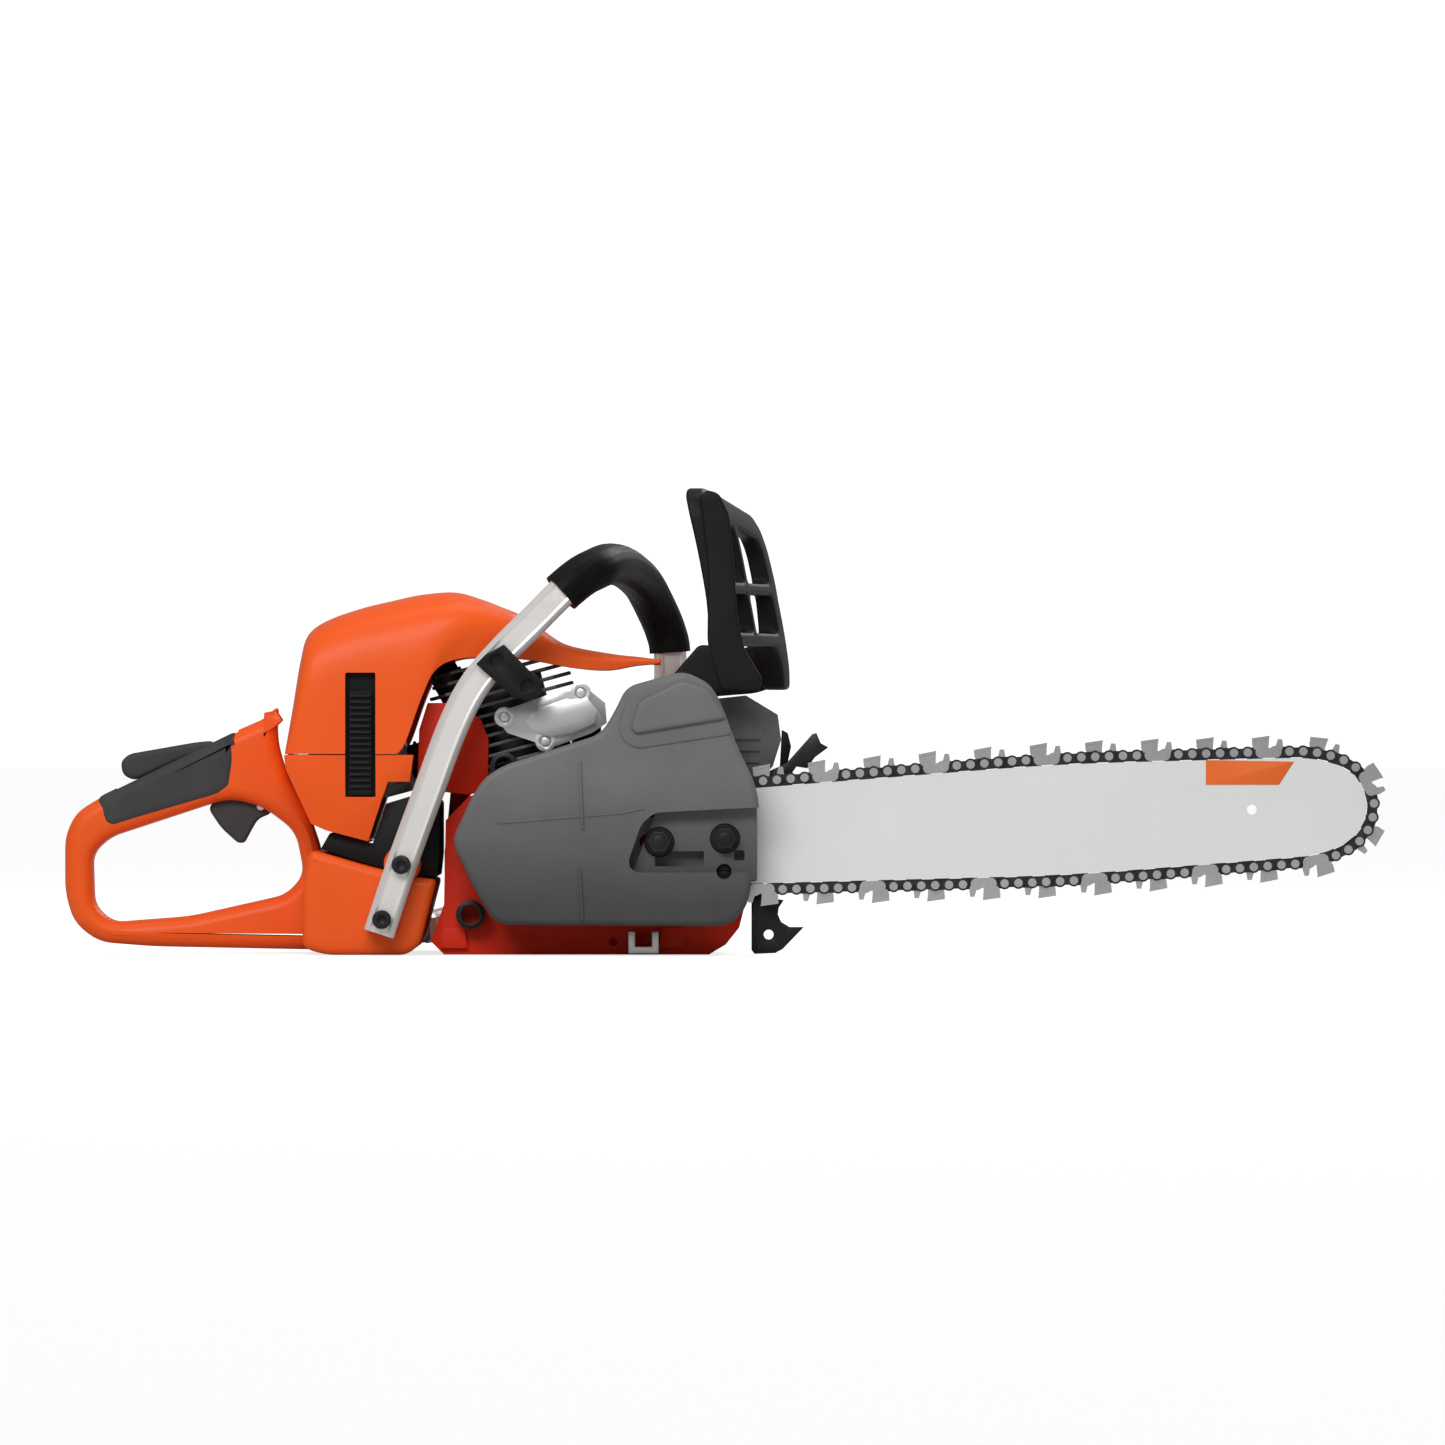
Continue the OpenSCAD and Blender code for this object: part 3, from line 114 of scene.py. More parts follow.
def finish_material(name, colour, rough, metal=0.0, vary=0.1, vary_scale=40, grain=600, depth=0.00004,
                    coat=0.0, specular=0.3, foot=1.0):
    """A finish from a base colour, a roughness range, and a grain of a given size and depth.

    A foot below 1 darkens the colour towards the ground: painted shade."""
    material = bpy.data.materials.new(name)
    material.use_nodes = True
    tree = material.node_tree
    shader = tree.nodes["Principled BSDF"]
    coords = tree.nodes.new("ShaderNodeTexCoord")
    cloud = link_noise(tree, coords, vary_scale, 4)
    ramp = tree.nodes.new("ShaderNodeValToRGB")
    dark = [c * (1 - vary) for c in colour]
    light = [min(1, c * (1 + vary)) for c in colour]
    ramp.color_ramp.elements[0].position = 0.3
    ramp.color_ramp.elements[0].color = (*dark, 1)
    ramp.color_ramp.elements[1].position = 0.7
    ramp.color_ramp.elements[1].color = (*light, 1)
    tree.links.new(cloud.outputs["Fac"], ramp.inputs["Fac"])
    colour_out = ramp.outputs["Color"]
    # Painted shade: the colour is scaled down towards low Object Z.
    if foot < 1:
        place = tree.nodes.new("ShaderNodeSeparateXYZ")
        shade = tree.nodes.new("ShaderNodeMapRange")
        mix = tree.nodes.new("ShaderNodeVectorMath")
        mix.operation = "SCALE"
        shade.inputs["From Min"].default_value = 0.03
        shade.inputs["From Max"].default_value = 0.11
        shade.inputs["To Min"].default_value = foot
        tree.links.new(coords.outputs["Object"], place.inputs["Vector"])
        tree.links.new(place.outputs["Z"], shade.inputs["Value"])
        tree.links.new(ramp.outputs["Color"], mix.inputs[0])
        tree.links.new(shade.outputs["Result"], mix.inputs["Scale"])
        colour_out = mix.outputs["Vector"]
    tree.links.new(colour_out, shader.inputs["Base Color"])
    fine = link_noise(tree, coords, grain, 3)
    spread = 0.06 if metal > 0.6 else 0.18
    tree.links.new(map_range(tree, fine.outputs["Fac"], rough * (1 - spread), rough * (1 + spread)),
                   shader.inputs["Roughness"])
    bump = tree.nodes.new("ShaderNodeBump")
    bump.inputs["Distance"].default_value = depth
    bump.inputs["Strength"].default_value = 0.6
    tree.links.new(fine.outputs["Fac"], bump.inputs["Height"])
    tree.links.new(bump.outputs["Normal"], shader.inputs["Normal"])
    shader.inputs["Metallic"].default_value = metal
    shader.inputs["Specular IOR Level"].default_value = specular
    shader.inputs["Coat Weight"].default_value = coat
    shader.inputs["Coat Roughness"].default_value = 0.2
    return material


# %% Finishes of the chainsaw
ORANGE = finish_material("orange moulded plastic", (0.88, 0.105, 0.01), 0.42, vary=0.04, vary_scale=12,
                         grain=1400, depth=0.00002, coat=0.05, specular=0.2)
RED = finish_material("dark red painted casting", (0.66, 0.022, 0.003), 0.55, vary=0.1, grain=700,
                      depth=0.00008, specular=0.2)
# The grey cover's foot darkens its lower part: painted shade.
COVER_GREY = finish_material("grey composite cover", (0.155, 0.156, 0.158), 0.5, vary=0.06, grain=1800,
                             depth=0.00005, foot=0.38)
BLACK = finish_material("black moulded plastic", (0.008, 0.008, 0.0085), 0.5, vary=0.2, grain=1500,
                        depth=0.00004, specular=0.15)
GRIP = finish_material("grey soft grip", (0.045, 0.046, 0.048), 0.7, vary=0.12, grain=2200, depth=0.0001)
RUBBER = finish_material("black rubber sleeve", (0.007, 0.007, 0.0075), 0.5, vary=0.25, grain=900,
                         depth=0.00005, specular=0.08)
BRIGHT = finish_material("bright anodised alloy", (0.84, 0.815, 0.79), 0.34, metal=0.55, vary=0.03, grain=900,
                         depth=0.000004)
CAST = finish_material("cast alloy", (0.32, 0.32, 0.32), 0.5, metal=0.9, vary=0.2, grain=650, depth=0.00012)
CAST_BRIGHT = finish_material("bright cast alloy", (0.7, 0.695, 0.69), 0.36, metal=0.7, vary=0.06, grain=420,
                              depth=0.00005)
STEEL = finish_material("machined steel", (0.62, 0.62, 0.63), 0.26, metal=1.0, vary=0.06, grain=700,
                        depth=0.000004)
DARK_STEEL = finish_material("blued chain steel", (0.045, 0.047, 0.055), 0.38, metal=0.85, vary=0.3,
                             vary_scale=160, grain=900)
BLACKED = finish_material("blacked steel", (0.02, 0.02, 0.022), 0.4, metal=0.5, vary=0.3, grain=800)
BAR_PAINT = finish_material("light grey bar paint", (0.77, 0.775, 0.78), 0.45, vary=0.03, vary_scale=9,
                            grain=900, depth=0.00002)
PATCH = finish_material("orange bar patch", (0.82, 0.15, 0.02), 0.45, vary=0.04, grain=900)
MUFFLER = finish_material("heat-proof grey paint", (0.12, 0.12, 0.122), 0.6, vary=0.3,
                          grain=700, depth=0.0001)
CYLINDER = finish_material("sooty cast cylinder", (0.13, 0.13, 0.135), 0.5, metal=0.75, vary=0.25, grain=650,
                           depth=0.0001)
FELT = finish_material("filter felt", (0.62, 0.58, 0.46), 0.9, vary=0.15, grain=1500, depth=0.0004)
ROPE = finish_material("braided rope", (0.7, 0.69, 0.66), 0.8, vary=0.2, grain=800, depth=0.0003)
VALVE_BLUE = finish_material("blue valve button", (0.02, 0.12, 0.55), 0.35, vary=0.08, grain=900)
print("materials:", len(bpy.data.materials))

# %% [markdown]
# ## Dressing the carried-over parts
# Machined and cast parts keep the shape the frame gives them. A copy has its loose triangles merged and
# its flat faces joined, and a narrow bevel catches the light along every edge, as a real radius does.

# %% Pieces from the frame's own shapes
def smooth_by_angle(mesh, degrees=38):
    """Smooth shading, with edges sharper than the angle kept crisp."""
    shape = bmesh.new()
    shape.from_mesh(mesh)
    for face in shape.faces:
        face.smooth = True
    limit = math.radians(degrees)
    for edge in shape.edges:
        edge.smooth = edge.is_manifold and edge.calc_face_angle(0) < limit
    shape.to_mesh(mesh)
    shape.free()


def bake_modifiers(piece):
    """Replaces the piece's mesh with the result of its modifiers, and removes them."""
    graph = bpy.context.evaluated_depsgraph_get()
    solid = bpy.data.meshes.new_from_object(piece.evaluated_get(graph))
    piece.modifiers.clear()
    piece.data = solid
    return piece


def new_piece(name, mesh, material):
    """Links a mesh into the scene as an object with one material."""
    piece = bpy.data.objects.new(name, mesh)
    bpy.context.scene.collection.objects.link(piece)
    piece.data.materials.clear()
    piece.data.materials.append(material)
    return piece


def hand_over(piece, body, slot, *stands_for):
    """Rides the piece on its body and hides the frame's nodes it stands for; the slot is not used."""
    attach(piece, body)
    if stands_for:
        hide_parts(*stands_for)
    return piece


def body_of_node(node):
    return nodes[node]["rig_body"]


def slot_of_node(node):
    rows = frame["record"]["subparts"]
    return next(row["material_slot"] for row in rows if row["node"] == node)


def merged_copy(node):
    """The node's mesh with doubles merged and flat faces joined."""
    shape = bmesh.new()
    shape.from_mesh(nodes[node].data)
    bmesh.ops.remove_doubles(shape, verts=shape.verts, dist=0.000005)
    bmesh.ops.dissolve_limit(shape, angle_limit=math.radians(0.6), verts=shape.verts, edges=shape.edges)
    mesh = bpy.data.meshes.new(node + "_shape")
    shape.to_mesh(mesh)
    shape.free()
    return mesh


def edged(node, material, width=0.0005, segments=2, name=None):
    """A bevelled copy of a node that stands for it."""
    piece = new_piece(name or node + "_finished", merged_copy(node), material)
    bevel = piece.modifiers.new("edges", "BEVEL")
    bevel.width = width
    bevel.segments = segments
    bevel.limit_method = "ANGLE"
    bevel.angle_limit = math.radians(35)
    bevel.use_clamp_overlap = True
    bake_modifiers(piece)
    smooth_by_angle(piece.data)
    return hand_over(piece, body_of_node(node), slot_of_node(node), node)


def paint(node, material):
    """Keeps a node as it is, with a better material."""
    nodes[node].data.materials.clear()
    nodes[node].data.materials.append(material)

# %% [markdown]
# ## Plates with rounded rims
# Most moulded and stamped pieces of the saw are an outline with thickness. A filled 2D curve with a bevel
# gives such a plate with soft rims and clean holes. Its corners are arcs, so the outline needs few points.

# %% Rounded outlines and plates
def rounded(points, radius, steps=5):
    """The outline with each corner turned into an arc of up to the radius."""
    result = []
    count = len(points)
    for i in range(count):
        here = Vector(points[i])
        before = Vector(points[i - 1]) - here
        after = Vector(points[(i + 1) % count]) - here
        reach = min(radius, before.length * 0.45, after.length * 0.45)
        start = here + before.normalized() * reach
        end = here + after.normalized() * reach
        for k in range(steps + 1):
            t = k / steps
            result.append((1 - t) ** 2 * start + 2 * t * (1 - t) * here + t * t * end)
    return [(p.x, p.y) for p in result]


def plate_mesh(name, outlines, thickness, rim, rim_steps=3):
    """A closed plate in X and Z, centred on y = 0, from an outer outline and its holes."""
    curve = bpy.data.curves.new(name, "CURVE")
    curve.dimensions = "2D"
    curve.fill_mode = "BOTH"
    for outline in outlines:
        spline = curve.splines.new("POLY")
        spline.points.add(len(outline) - 1)
        for point, (x, z) in zip(spline.points, outline):
            point.co = (x, z, 0, 1)
        spline.use_cyclic_u = True
    curve.extrude = thickness / 2 - rim
    curve.bevel_depth = rim
    curve.bevel_resolution = rim_steps
    curve.offset = -rim
    holder = bpy.data.objects.new(name, curve)
    bpy.context.scene.collection.objects.link(holder)
    graph = bpy.context.evaluated_depsgraph_get()
    mesh = bpy.data.meshes.new_from_object(holder.evaluated_get(graph))
    bpy.data.objects.remove(holder)
    mesh.transform(Matrix.Rotation(math.pi / 2, 4, "X"))
    shape = bmesh.new()
    shape.from_mesh(mesh)
    bmesh.ops.remove_doubles(shape, verts=shape.verts, dist=0.000002)
    bmesh.ops.recalc_face_normals(shape, faces=shape.faces)
    shape.to_mesh(mesh)
    shape.free()
    return mesh


def plate(name, outlines, y0, y1, rim, material, corner=2.0, rim_steps=3):
    """A plate between two depths, from outlines in millimetres."""
    soft = [rounded(in_mm(outline), corner * MM) for outline in outlines]
    mesh = plate_mesh(name, soft, abs(y1 - y0) * MM, rim * MM, rim_steps)
    mesh.transform(Matrix.Translation((0, (y0 + y1) / 2 * MM, 0)))
    return new_piece(name, mesh, material)


def cut(piece, *cutters):
    """Takes the cutters out of the piece with exact booleans."""
    for cutter in cutters:
        step = piece.modifiers.new("cut", "BOOLEAN")
        step.operation = "DIFFERENCE"
        step.solver = "EXACT"
        step.object = cutter
    bake_modifiers(piece)
    for cutter in cutters:
        bpy.data.objects.remove(cutter)
    return piece


def joined(name, *parts):
    """Several closed shells as one piece, keeping each part's material."""
    target = parts[0]
    shape = bmesh.new()
    materials = []
    for part in parts:
        start = len(shape.faces)
        shape.from_mesh(part.data)
        shape.faces.ensure_lookup_table()
        material = part.data.materials[0]
        if material not in materials:
            materials.append(material)
        for face in shape.faces[start:]:
            face.material_index = materials.index(material)
    mesh = bpy.data.meshes.new(name)
    shape.to_mesh(mesh)
    shape.free()
    for material in materials:
        mesh.materials.append(material)
    for part in parts[1:]:
        bpy.data.objects.remove(part)
    target.data = mesh
    target.name = name
    smooth_by_angle(mesh)
    return target


def rod(name, x, z, y0, y1, r, material, sides=32, rim=0.4):
    """A turned pin across the saw, with its ends chamfered."""
    shape = bmesh.new()
    profile = [(y0, r - rim), (y0 + rim, r), (y1 - rim, r), (y1, r - rim)]
    rings = []
    for y, radius in profile:
        ring = []
        for k in range(sides):
            a = 2 * math.pi * k / sides
            across, up = radius * math.cos(a), radius * math.sin(a)
            ring.append(shape.verts.new(((x + across) * MM, y * MM, (z + up) * MM)))
        rings.append(ring)
    for low, high in zip(rings, rings[1:]):
        for k in range(sides):
            shape.faces.new((low[k], low[(k + 1) % sides], high[(k + 1) % sides], high[k]))
    shape.faces.new(rings[0])
    shape.faces.new(list(reversed(rings[-1])))
    bmesh.ops.recalc_face_normals(shape, faces=shape.faces)
    mesh = bpy.data.meshes.new(name)
    shape.to_mesh(mesh)
    shape.free()
    return new_piece(name, mesh, material)


print("plate tools ready")

# %% [markdown]
# ## Camera, floor and light
# A long lens keeps the side view almost free of perspective. The floor is plain and pale, and large soft
# lamps above and in front give long, quiet highlights on the shells.

# %% Camera, floor and lamps
LENS, SENSOR, FRAME_WIDTH = 300, 36, 0.8598
camera_data = bpy.data.cameras.new("camera")
camera_data.lens = LENS
camera_data.sensor_width = SENSOR
camera_data.clip_end = 100
camera = bpy.data.objects.new("camera", camera_data)
camera.location = (0, BAR_Y - LENS * FRAME_WIDTH / SENSOR, 0.1383)
camera.rotation_euler = (math.pi / 2, 0, 0)
bpy.context.scene.collection.objects.link(camera)
bpy.context.scene.camera = camera
bpy.context.scene.view_settings.view_transform = "Standard"

FLOOR = bpy.data.materials.new("pale floor")
FLOOR.use_nodes = True
floor_shader = FLOOR.node_tree.nodes["Principled BSDF"]
floor_shader.inputs["Base Color"].default_value = (0.6, 0.6, 0.6, 1)
floor_shader.inputs["Roughness"].default_value = 0.9
floor_shader.inputs["Emission Color"].default_value = (1, 1, 1, 1)
floor_rays = FLOOR.node_tree.nodes.new("ShaderNodeLightPath")
glow = FLOOR.node_tree.nodes.new("ShaderNodeMath")
glow.operation = "MULTIPLY"
glow.inputs[1].default_value = 0.75
FLOOR.node_tree.links.new(floor_rays.outputs["Is Camera Ray"], glow.inputs[0])
FLOOR.node_tree.links.new(glow.outputs["Value"], floor_shader.inputs["Emission Strength"])
floor_mesh = bpy.data.meshes.new("floor")
floor_mesh.from_pydata([(-30, -30, 0), (30, -30, 0), (30, 30, 0), (-30, 30, 0)], [], [(0, 1, 2, 3)])
floor = new_piece("floor", floor_mesh, FLOOR)
floor.location.z = -0.0004

world = bpy.data.worlds.new("studio")
world.use_nodes = True
sky = world.node_tree.nodes["Background"]
sky.inputs["Color"].default_value = (1, 1, 1, 1)
rays = world.node_tree.nodes.new("ShaderNodeLightPath")
bright = world.node_tree.nodes.new("ShaderNodeMapRange")
bright.inputs["To Min"].default_value = 0.34
bright.inputs["To Max"].default_value = 1.1
world.node_tree.links.new(rays.outputs["Is Camera Ray"], bright.inputs["Value"])
world.node_tree.links.new(bright.outputs["Result"], sky.inputs["Strength"])
bpy.context.scene.world = world


def soft_lamp(name, place, aim, size, watts):
    """A square area lamp pointed at a place."""
    lamp_data = bpy.data.lights.new(name, "AREA")
    lamp_data.shape = "RECTANGLE"
    lamp_data.size, lamp_data.size_y = size
    lamp_data.energy = watts
    lamp = bpy.data.objects.new(name, lamp_data)
    lamp.location = place
    lamp.rotation_euler = (Vector(aim) - Vector(place)).to_track_quat("-Z", "Y").to_euler()
    bpy.context.scene.collection.objects.link(lamp)


soft_lamp("key lamp", (-0.6, -2.0, 1.3), (0, 0, 0.1), (1.6, 0.7), 29)
soft_lamp("top lamp", (0.1, -0.1, 2.0), (0, 0, 0.1), (2.0, 0.8), 13)
soft_lamp("back lamp", (0.9, 1.6, 1.2), (0, 0, 0.1), (1.0, 0.8), 12)
print("camera distance", round(-camera.location.y, 3))

# %% [markdown]
# ## Top cover
# The orange cover is one smooth shell. It is a loft: a spine runs along its top, a lower edge runs along
# its side, and a box-shaped hoop joins them at each station. Solidify gives the shell its wall, and the
# latch slot is cut through the right side.

# %% Smooth curves through stations
def catmull(points, steps):
    """A smooth curve through rows of numbers."""
    result = []
    last = len(points) - 1
    for i in range(last):
        a, b, c, d = (points[max(i - 1, 0)], points[i], points[i + 1], points[min(i + 2, last)])
        for s in range(steps):
            t = s / steps
            result.append(tuple(
                0.5 * (2 * q + (r - p) * t + (2 * p - 5 * q + 4 * r - w) * t * t
                       + (3 * q - p - 3 * r + w) * t ** 3)
                for p, q, r, w in zip(a, b, c, d)))
    result.append(tuple(points[last]))
    return result


def hoop_loft(name, stations, squareness, middle, material, across=40, wall=2.6):
    """A shell of hoops. Each station is spine x and z, lower edge x and z, and half width."""
    shape = bmesh.new()
    rows = []
    for spine_x, spine_z, edge_x, edge_z, half in stations:
        row = []
        for k in range(across + 1):
            angle = math.pi * k / across
            c, s = math.cos(angle), math.sin(angle)
            side = math.copysign(abs(c) ** (2 / squareness), c)
            lift = abs(s) ** (2 / squareness)
            x = edge_x + (spine_x - edge_x) * lift
            z = edge_z + (spine_z - edge_z) * lift
            row.append(shape.verts.new((x * MM, (middle - side * half) * MM, z * MM)))
        rows.append(row)
    for low, high in zip(rows, rows[1:]):
        for k in range(across):
            shape.faces.new((low[k], low[k + 1], high[k + 1], high[k]))
    bmesh.ops.remove_doubles(shape, verts=shape.verts, dist=0.00001)
    bmesh.ops.recalc_face_normals(shape, faces=shape.faces)
    top = max(shape.faces, key=lambda face: face.calc_center_median().z)
    if top.normal.z < 0:
        bmesh.ops.reverse_faces(shape, faces=shape.faces)
    mesh = bpy.data.meshes.new(name)
    shape.to_mesh(mesh)
    shape.free()
    piece = new_piece(name, mesh, material)
    solid = piece.modifiers.new("wall", "SOLIDIFY")
    solid.thickness = wall * MM
    solid.offset = -1
    return bake_modifiers(piece)


# %% Build the top cover
COVER_STATIONS = [
    (-261.3, 119.6, -257, 119.6, 67.0), (-256.5, 148, -252, 119.6, 68.6), (-252, 176, -246, 119.6, 69.4),
    (-247.5, 191, -238, 119.6, 70), (-236, 199.5, -229, 119.6, 70), (-216, 206.6, -214, 119.6, 70),
    (-198, 211, -200, 119.6, 70), (-180, 214.8, -190.5, 123, 70), (-160, 216.2, -179.5, 152, 69),
    (-144, 212, -171.5, 168.5, 67), (-131, 207, -160, 175.6, 64), (-121.5, 203, -140, 177.2, 61),
    (-108, 194, -118, 176, 58), (-93, 184.8, -92, 171.5, 55), (-67, 179.6, -70, 169.5, 52),
    (-50, 177.6, -52, 172.3, 49), (-37, 176, -37.8, 173.6, 47)]
top_cover = hoop_loft("top_cover_shell", catmull(COVER_STATIONS, 5), 5.5, -4, ORANGE)
LATCH_SLOT = [(-224.5, 92), (-224.5, 168), (-206.5, 168), (-206.5, 92)]
slot_cutter = plate("slot_cutter", [LATCH_SLOT], -90, -60, 0.5, BLACK, corner=1.2)
valve_axis = Matrix.Translation(CRANK + Vector((0, -0.010, 0))) @ Matrix.Rotation(-CYLINDER_LEAN, 4, "Y")
valve_cutter = rod("valve_cutter", 0, 0, -30, 30, 6.4, BLACK)
valve_place = Matrix.Translation((0.006, 0.024, 0.150))
valve_cutter.data.transform(valve_axis @ valve_place @ Matrix.Rotation(math.pi / 2, 4, "X"))
cut(top_cover, slot_cutter, valve_cutter)
smooth_by_angle(top_cover.data, 32)
hand_over(top_cover, "power_unit", "orange_shell", "top_cover")

# %% [markdown]
# ## Air box and latch
# The lower cover continues the right side down to the tank, and gets wide soft edges. The latch is a
# ribbed strap in a deep slot. Its ribs are one bar repeated by Geometry Nodes on a line of points. A black
# plate closes the slot behind it.

# %% Build the air box
edged("air_box", ORANGE, 1.5 * MM, 3)

# %% A Geometry Nodes row of copies
def row_tree(name):
    """A tree that repeats a solid along a line: its inputs are the count, the first place and the last."""
    tree = bpy.data.node_groups.new(name, "GeometryNodeTree")
    face = tree.interface
    face.new_socket("Geometry", in_out="OUTPUT", socket_type="NodeSocketGeometry")
    face.new_socket("Repeated piece", in_out="INPUT", socket_type="NodeSocketObject")
    face.new_socket("Count", in_out="INPUT", socket_type="NodeSocketInt")
    face.new_socket("First place", in_out="INPUT", socket_type="NodeSocketVector")
    face.new_socket("Last place", in_out="INPUT", socket_type="NodeSocketVector")
    face.new_socket("Material", in_out="INPUT", socket_type="NodeSocketMaterial")
    add = tree.nodes.new
    inputs, output = add("NodeGroupInput"), add("NodeGroupOutput")
    line = add("GeometryNodeMeshLine")
    line.mode = "END_POINTS"
    info = add("GeometryNodeObjectInfo")
    copies = add("GeometryNodeInstanceOnPoints")
    real, coat = add("GeometryNodeRealizeInstances"), add("GeometryNodeSetMaterial")
    link = tree.links.new
    link(inputs.outputs["Count"], line.inputs["Count"])
    link(inputs.outputs["First place"], line.inputs["Start Location"])
    link(inputs.outputs["Last place"], line.inputs["Offset"])
    link(line.outputs["Mesh"], copies.inputs["Points"])
    link(inputs.outputs["Repeated piece"], info.inputs["Object"])
    link(info.outputs["Geometry"], copies.inputs["Instance"])
    link(copies.outputs["Instances"], real.inputs["Geometry"])
    link(real.outputs["Geometry"], coat.inputs["Geometry"])
    link(inputs.outputs["Material"], coat.inputs["Material"])
    link(coat.outputs["Geometry"], output.inputs["Geometry"])
    return tree


ROW = row_tree("row of copies")


def set_input(modifier, name, value):
    """Sets a Geometry Nodes input by the identifier of the socket with that name."""
    socket = next(item for item in modifier.node_group.interface.items_tree
                  if item.name == name and item.in_out == "INPUT")
    modifier[socket.identifier] = value


def row_of(solid, count, first, last, material):
    """The solid repeated along a line, as one plain mesh. The solid itself is used up."""
    piece = new_piece(solid.name + "_row", bpy.data.meshes.new(solid.name + "_row"), material)
    modifier = piece.modifiers.new("row", "NODES")
    modifier.node_group = ROW
    set_input(modifier, "Repeated piece", solid)
    set_input(modifier, "Count", count)
    set_input(modifier, "First place", [v * MM for v in first])
    set_input(modifier, "Last place", [v * MM for v in last])
    set_input(modifier, "Material", material)
    piece.update_tag()
    bpy.context.view_layer.update()
    bake_modifiers(piece)
    bpy.data.objects.remove(solid)
    return piece


# %% Build the latch
STRAP = [(-222.5, 95), (-222.5, 157), (-208.5, 157), (-208.5, 95)]
strap = plate("latch_strap", [STRAP], -71.5, -69, 0.5, BLACK, corner=2)
rib = plate("latch_rib", [[(-222, -0.9), (-222, 0.9), (-209, 0.9), (-209, -0.9)]], -73.5, -71.4, 0.5, BLACK,
            corner=0.4, rim_steps=1)
ribs = row_of(rib, 16, (0, 0, 100), (0, 0, 154), BLACK)
latch = joined("latch_finished", strap, ribs)
hand_over(latch, "cover_latch", "black_plastic", "latch")
LATCH_BACK = [(-227, 92), (-227, 172), (-204, 172), (-204, 92)]
latch_back = plate("latch_back", [LATCH_BACK], -66.5, -64.5, 0.3, BLACK)
smooth_by_angle(latch_back.data)
hand_over(latch_back, "power_unit", "black_plastic")
print("cover, air box and latch done")

# %% [markdown]
# ## Rear handle and tank
# The loop of the rear handle is a thick plate with wide rims, which gives the rounded hand hold. The tank
# is a second, wider block at its foot. The grip inlay, trigger and lockout sit in it.

# %% Build the rear handle
HANDLE = [(-266.5, 149), (-274, 141), (-291.5, 133.5), (-374, 93), (-388, 84), (-394.4, 70), (-394.4, 36),
          (-389, 18), (-374, 6.5), (-341, 4), (-240, 2), (-240, 60), (-248.5, 85), (-261.5, 107),
          (-267.5, 128)]
HANDLE_HOLE = [(-378, 59.5), (-367.5, 69.5), (-296, 93), (-276, 88), (-256, 73), (-251, 47), (-262, 35),
               (-320, 22), (-366, 18.5), (-377, 28.5)]
TANK = [(-246, 63), (-206, 51.5), (-178, 45.5), (-170, 45), (-180, 6), (-188, 0), (-236, 0), (-250, 4),
        (-250, 40)]
loop = plate("handle_loop", [HANDLE, HANDLE_HOLE], -20, 12, 8, ORANGE, corner=9, rim_steps=6)
LOCKOUT_POCKET = [(-364, 128), (-364, 88), (-308, 96), (-293, 100), (-289, 150)]
TRIGGER_POCKET = [(-318, 100), (-314, 60), (-266, 70), (-264, 96), (-292, 112)]
lockout_pocket = plate("lockout_pocket", [LOCKOUT_POCKET], -16, 8, 1, BLACK)
trigger_pocket = plate("trigger_pocket", [TRIGGER_POCKET], -11, 3, 1, BLACK)
cut(loop, lockout_pocket, trigger_pocket)
tank = plate("tank_block", [TANK], -74.9, 66, 5, ORANGE, corner=6, rim_steps=5)
boss = rod("bolt_boss", -190.5, 54, -74.9, -60, 11, ORANGE, rim=1.5)
filler = rod("filler_hole", -215, 27, 50, 70, 15, ORANGE)
cut(tank, filler)
rear_handle = joined("rear_handle_finished", loop, tank, boss)
hand_over(rear_handle, "power_unit", "orange_shell", "rear_handle_tank")

# %% Grip inlay, trigger and lockout
GRIP_SIDE = [(-291.5, 134), (-290, 116), (-292.5, 98.5), (-299, 94), (-366, 73), (-372.5, 76), (-375.5, 85),
             (-374.5, 93.5)]
inlay = plate("grip_inlay", [GRIP_SIDE], -20.8, 12.8, 7.2, GRIP, corner=4, rim_steps=6)
pocket = plate("grip_pocket", [[(-364, 140), (-364, 88), (-286, 88), (-286, 140)]], -16.5, 8.5, 0.5, BLACK)
pocket_low = plate("grip_pocket_low", [TRIGGER_POCKET], -11, 3, 1, BLACK)
cut(inlay, pocket, pocket_low)
smooth_by_angle(inlay.data)
hand_over(inlay, "power_unit", "grip_grey", "rear_grip")
TRIGGER = [(-309, 87), (-303, 93.5), (-292, 99), (-276, 95), (-270, 84), (-279, 80.5), (-283, 73.5),
           (-287, 66), (-291, 66), (-301, 75)]
trigger = plate("trigger_blade", [TRIGGER], -9.5, 1.5, 2.6, GRIP, corner=4, rim_steps=4)
trigger_pin = rod("trigger_pin", -277, 88, -13.5, 5.5, 2.55, STEEL)
trigger = joined("trigger_finished", trigger, trigger_pin)
hand_over(trigger, "trigger", "grip_grey", "throttle_trigger")
LOCKOUT = [(-360, 107), (-361, 115), (-356, 119.5), (-316, 126.5), (-305, 127.5), (-307, 110), (-317, 110),
           (-319, 118.2), (-353, 103.4)]
lockout = joined("lockout_finished", plate("lockout_bar", [LOCKOUT], -15, 7, 3, GRIP, corner=4, rim_steps=4),
                 rod("lockout_pin", -312, 112, -18.5, 10.5, 2.55, STEEL))
hand_over(lockout, "lockout", "grip_grey", "throttle_lockout")
print("handle done")

# %% [markdown]
# ## Front handle
# The handle is one bent tube. A curve through the frame's bend points carries a profile: Curve to Mesh
# sweeps it. The tube's profile has four flats with raised edges between them, and the rubber sleeve's is
# round with fine grooves.

